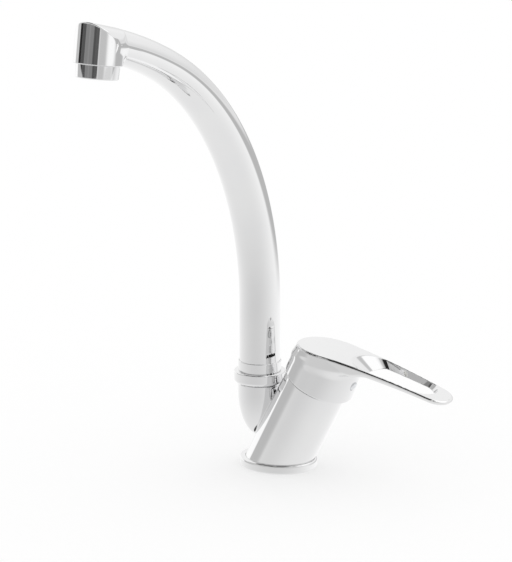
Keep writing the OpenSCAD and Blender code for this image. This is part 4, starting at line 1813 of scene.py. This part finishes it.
@dataclass
class Studio:
    """Camera, white floor, soft light, and the light room that the chrome mirrors."""

    azimuth: float = 33.32
    elevation: float = 14.42
    distance: float = 1992.8
    target: Triple = (-11.38, -7.74, 127.17)
    lens: float = 210.94
    sensor: float = 36.0
    floor_half: float = 3000.0
    shadow_share: float = 0.55
    table: float = 0.85
    table_fall: float = 0.18
    room_back: tuple[float, float] = (0.78, 0.14)  # low down, and what is added higher up
    room_front: float = 0.66
    room_far: float = 0.95
    zones: tuple[Zone, ...] = (
        Zone(0.52, -0.225, -0.06, 0.035, 95, 185, 12),
        Zone(0.54, -0.2, 0.36, 0.04, -125, -84, 11),
        Zone(1.08, -0.17, 0.12, 0.03, -158, -121, 3),
        Zone(1.12, 0.56, 0.98, 0.02, 50, 134, 3),
        Zone(0.6, 0.5, 0.8, 0.03, 134, 141, 2),
        Zone(0.49, 0.46, 0.8, 0.015, -118, 28, 8),
        Zone(0.02, 0.86, 0.985, 0.01, -185, 35, 8),
        Zone(0.02, 0.79, 0.9, 0.01, -185, -95, 6),
        Zone(0.02, 0.79, 0.9, 0.01, -48, 35, 6),
    )
    card_middle: Triple = (-13.4, -178.0, 300.0)
    card_r: float = 250.0
    card_parts: int = 72
    card_from: float = -110.0
    card_to: float = 111.0
    card_low: float = 244.0
    card_left_low: float = 287.0
    card_high: float = 358.0
    card_base: float = 0.6
    card_dim: Triple = (282.0, 268.0, 0.74)  # height where it starts, where it is full, and its tone
    card_dim_sector: Triple = (36.0, 78.0, 9.0)  # start, end and softness, as in card_right
    card_right: Triple = (2.0, 151.0, 1.5)  # where the card reaches down to card_low
    card_left_soft: float = 4.0
    card_tones: tuple[tuple[float, float, float, float], ...] = (  # start, end, softness and tone
        (-97.0, -82.0, 1.0, 0.025),
        (-82.0, -63.5, 1.5, 0.095),
        (-63.5, -25.5, 1.5, 0.24),
        (-47.0, -41.0, 2.0, 0.28),
        (-25.5, 0.5, 1.5, 0.11),
        (-20.0, -16.0, 2.0, 0.085),
        (0.5, 6.0, 1.0, 0.68),
        (6.0, 27.5, 2.0, 0.58),
        (41.0, 76.0, 11.0, 1.06),
        (86.0, 130.0, 5.0, 0.52),
    )

    def back(self) -> Vector:
        """Direction from the object to the camera."""
        a, e = math.radians(self.azimuth), math.radians(self.elevation)
        return Vector((math.sin(a) * math.cos(e), -math.cos(a) * math.cos(e), math.sin(e)))

    def camera(self) -> None:
        """Sets the camera at the photograph's viewing angle."""
        data = bpy.data.cameras.new("photo_camera")
        data.sensor_fit, data.sensor_width, data.lens = "HORIZONTAL", self.sensor, self.lens
        data.clip_start, data.clip_end = 0.1, 20.0
        camera = linked("photo_camera", data)
        camera.location = (Vector(self.target) + self.back() * self.distance) * MM
        camera.rotation_euler = self.back().to_track_quat("Z", "Y").to_euler()
        bpy.context.scene.camera = camera

    def floor(self) -> None:
        """Lays the pale floor, which keeps the object's shadow."""
        mesh = bpy.data.meshes.new("studio_floor")
        h = self.floor_half * MM
        mesh.from_pydata([(-h, -h, 0), (h, -h, 0), (h, h, 0), (-h, h, 0)], [], [(0, 1, 2, 3)])
        floor = linked("studio_floor", mesh)
        floor.visible_glossy = False
        material = bpy.data.materials.new("floor_white")
        board = NodeBoard.fresh(material)
        path = board.add("LightPath")
        seen = board.tone(path, "Is Camera Ray").most(board.tone(path, "Is Transmission Ray"))
        seen = seen.most(board.tone(path, "Is Glossy Ray")) * (1 - self.shadow_share)
        matt = board.add("BsdfDiffuse", None, {"Color": (1, 1, 1, 1)})
        mixed = board.add("MixShader", None, {0: seen, 1: matt, 2: board.glow(1.0)})
        board.add("OutputMaterial", None, {"Surface": mixed})
        mesh.materials.append(material)

    def sector(self, board: NodeBoard, way: bpy.types.Node, start: float, end: float, soft: float) -> Tone:
        """How far a direction's heading lies between two azimuths.

        Args:
            board: Where the nodes go.
            way: The node that splits the direction into its parts.
            start: First azimuth, counted from the camera's towards the right of the picture.
            end: Last azimuth.
            soft: Half the width of each edge's change.

        Returns:
            1 inside the sector and 0 outside it.
        """
        half = (end - start) / 2
        heading = self.heading(board, way, (start + end) / 2)
        return heading.ramp(math.cos(math.radians(half + soft)), math.cos(math.radians(max(half - soft, 0))))

    def heading(self, board: NodeBoard, way: bpy.types.Node, azimuth: float) -> Tone:
        """Cosine between a direction's heading and an azimuth.

        Args:
            board: Where the nodes go.
            way: The node that splits the direction into its parts.
            azimuth: Counted from the camera's towards the right of the picture.

        Returns:
            The cosine.
        """
        a = math.radians(self.azimuth + azimuth)
        x, y = board.tone(way, 0), board.tone(way, 1)
        flat = (x * x + y * y).most(1e-6)
        return (x * math.sin(a) - y * math.cos(a)) / flat.root()

    def world(self) -> None:
        """A pale room for the mirrors: grey towards the camera, white behind, and dark high on the camera's side."""
        world = bpy.data.worlds.new("studio_room")
        board = NodeBoard.fresh(world)
        way = board.add("SeparateXYZ", None, {0: board.add("TexCoord").outputs["Generated"]})
        z = board.tone(way, 2)
        table_edge = self.table - self.table_fall * self.heading(board, way, -25)
        room = self.table + (table_edge - self.table) * z.ramp(-1.05, -0.2)
        back = self.room_back[0] + self.room_back[1] * z.ramp(0.0, 0.3)
        room = room.toward(back, z.ramp(-0.14, 0.02) * self.sector(board, way, 60, 190, 20))
        room = room.toward(self.room_front, z.ramp(-0.2, 0.0) * self.sector(board, way, -80, 60, 20))
        room = room.toward(self.room_far, z.ramp(0.05, 0.3) * self.sector(board, way, -200, -115, 10))
        for zone in self.zones:
            heading = self.sector(board, way, zone.start, zone.end, zone.blur)
            room = room.toward(zone.tone, z.between(zone.low, zone.high, zone.soft) * heading)
        mirrored = board.tone(board.add("LightPath"), "Is Glossy Ray")
        level = mirrored * room + (1 - mirrored)
        light = board.add("Background", None, {"Color": (1, 1, 1, 1), "Strength": level})
        board.add("OutputWorld", None, {"Surface": light})
        bpy.context.scene.world = world

    def outlet_cards(self) -> None:
        """Hangs curved cards round the outlet, seen only by mirrors: dark on the left, grey and white on the right."""
        middle, steps = Vector(self.card_middle), self.card_parts
        rows = []
        for k in range(steps + 1):
            a = math.radians(self.azimuth + self.card_from + (self.card_to - self.card_from) * k / steps)
            rows.append((middle + Vector((math.sin(a), -math.cos(a), 0)) * self.card_r) * MM)
        points = [(p.x, p.y, h * MM) for h in (self.card_low, self.card_high) for p in rows]
        n = steps + 1
        mesh = bpy.data.meshes.new("outlet_cards")
        mesh.from_pydata(points, [], [(k, k + 1, n + k + 1, n + k) for k in range(steps)])
        cards = linked("outlet_cards", mesh)
        cards.visible_camera = cards.visible_diffuse = cards.visible_shadow = cards.visible_transmission = False
        material = bpy.data.materials.new("card_tones")
        board = NodeBoard.fresh(material)
        place = board.add("TexCoord").outputs["Object"]
        way = board.add("SeparateXYZ", None, {0: board.vector("SUBTRACT", place, middle * MM)})
        tone = board.tone(board.add("Value"))
        tone.socket.default_value = self.card_base
        for start, end, soft, level in self.card_tones:
            tone = tone.toward(level, self.sector(board, way, start, end, soft))
        height = board.tone(board.add("SeparateXYZ", None, {0: place}), 2)
        dim_from, dim_to, dim_tone = self.card_dim
        dim = height.ramp(dim_from * MM, dim_to * MM) * self.sector(board, way, *self.card_dim_sector)
        tone = tone.toward(dim_tone, dim)
        left = height.ramp(self.card_left_low * MM, (self.card_left_low + self.card_left_soft) * MM)
        shown = self.sector(board, way, *self.card_right).most(left)
        clear = board.add("BsdfTransparent")
        mixed = board.add("MixShader", None, {0: shown, 1: clear, 2: board.glow(tone)})
        board.add("OutputMaterial", None, {"Surface": mixed})
        mesh.materials.append(material)

    def build(self) -> None:
        """Sets up the whole studio."""
        self.camera()
        self.floor()
        self.world()
        self.outlet_cards()
        bpy.context.scene.view_settings.view_transform = "Standard"


def main() -> None:
    """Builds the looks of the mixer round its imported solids."""
    logging.basicConfig(level=logging.INFO, format="%(name)s: %(message)s")
    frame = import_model()
    Studio().build()
    bench = Bench(frame)
    for assembly in (BodyCasting(), SwivelJoint(), Spout(), LeverHandle(), Cartridge()):
        LOG.info("building %s", type(assembly).__name__)
        assembly.build(bench)


if __name__ == "__main__":
    main()
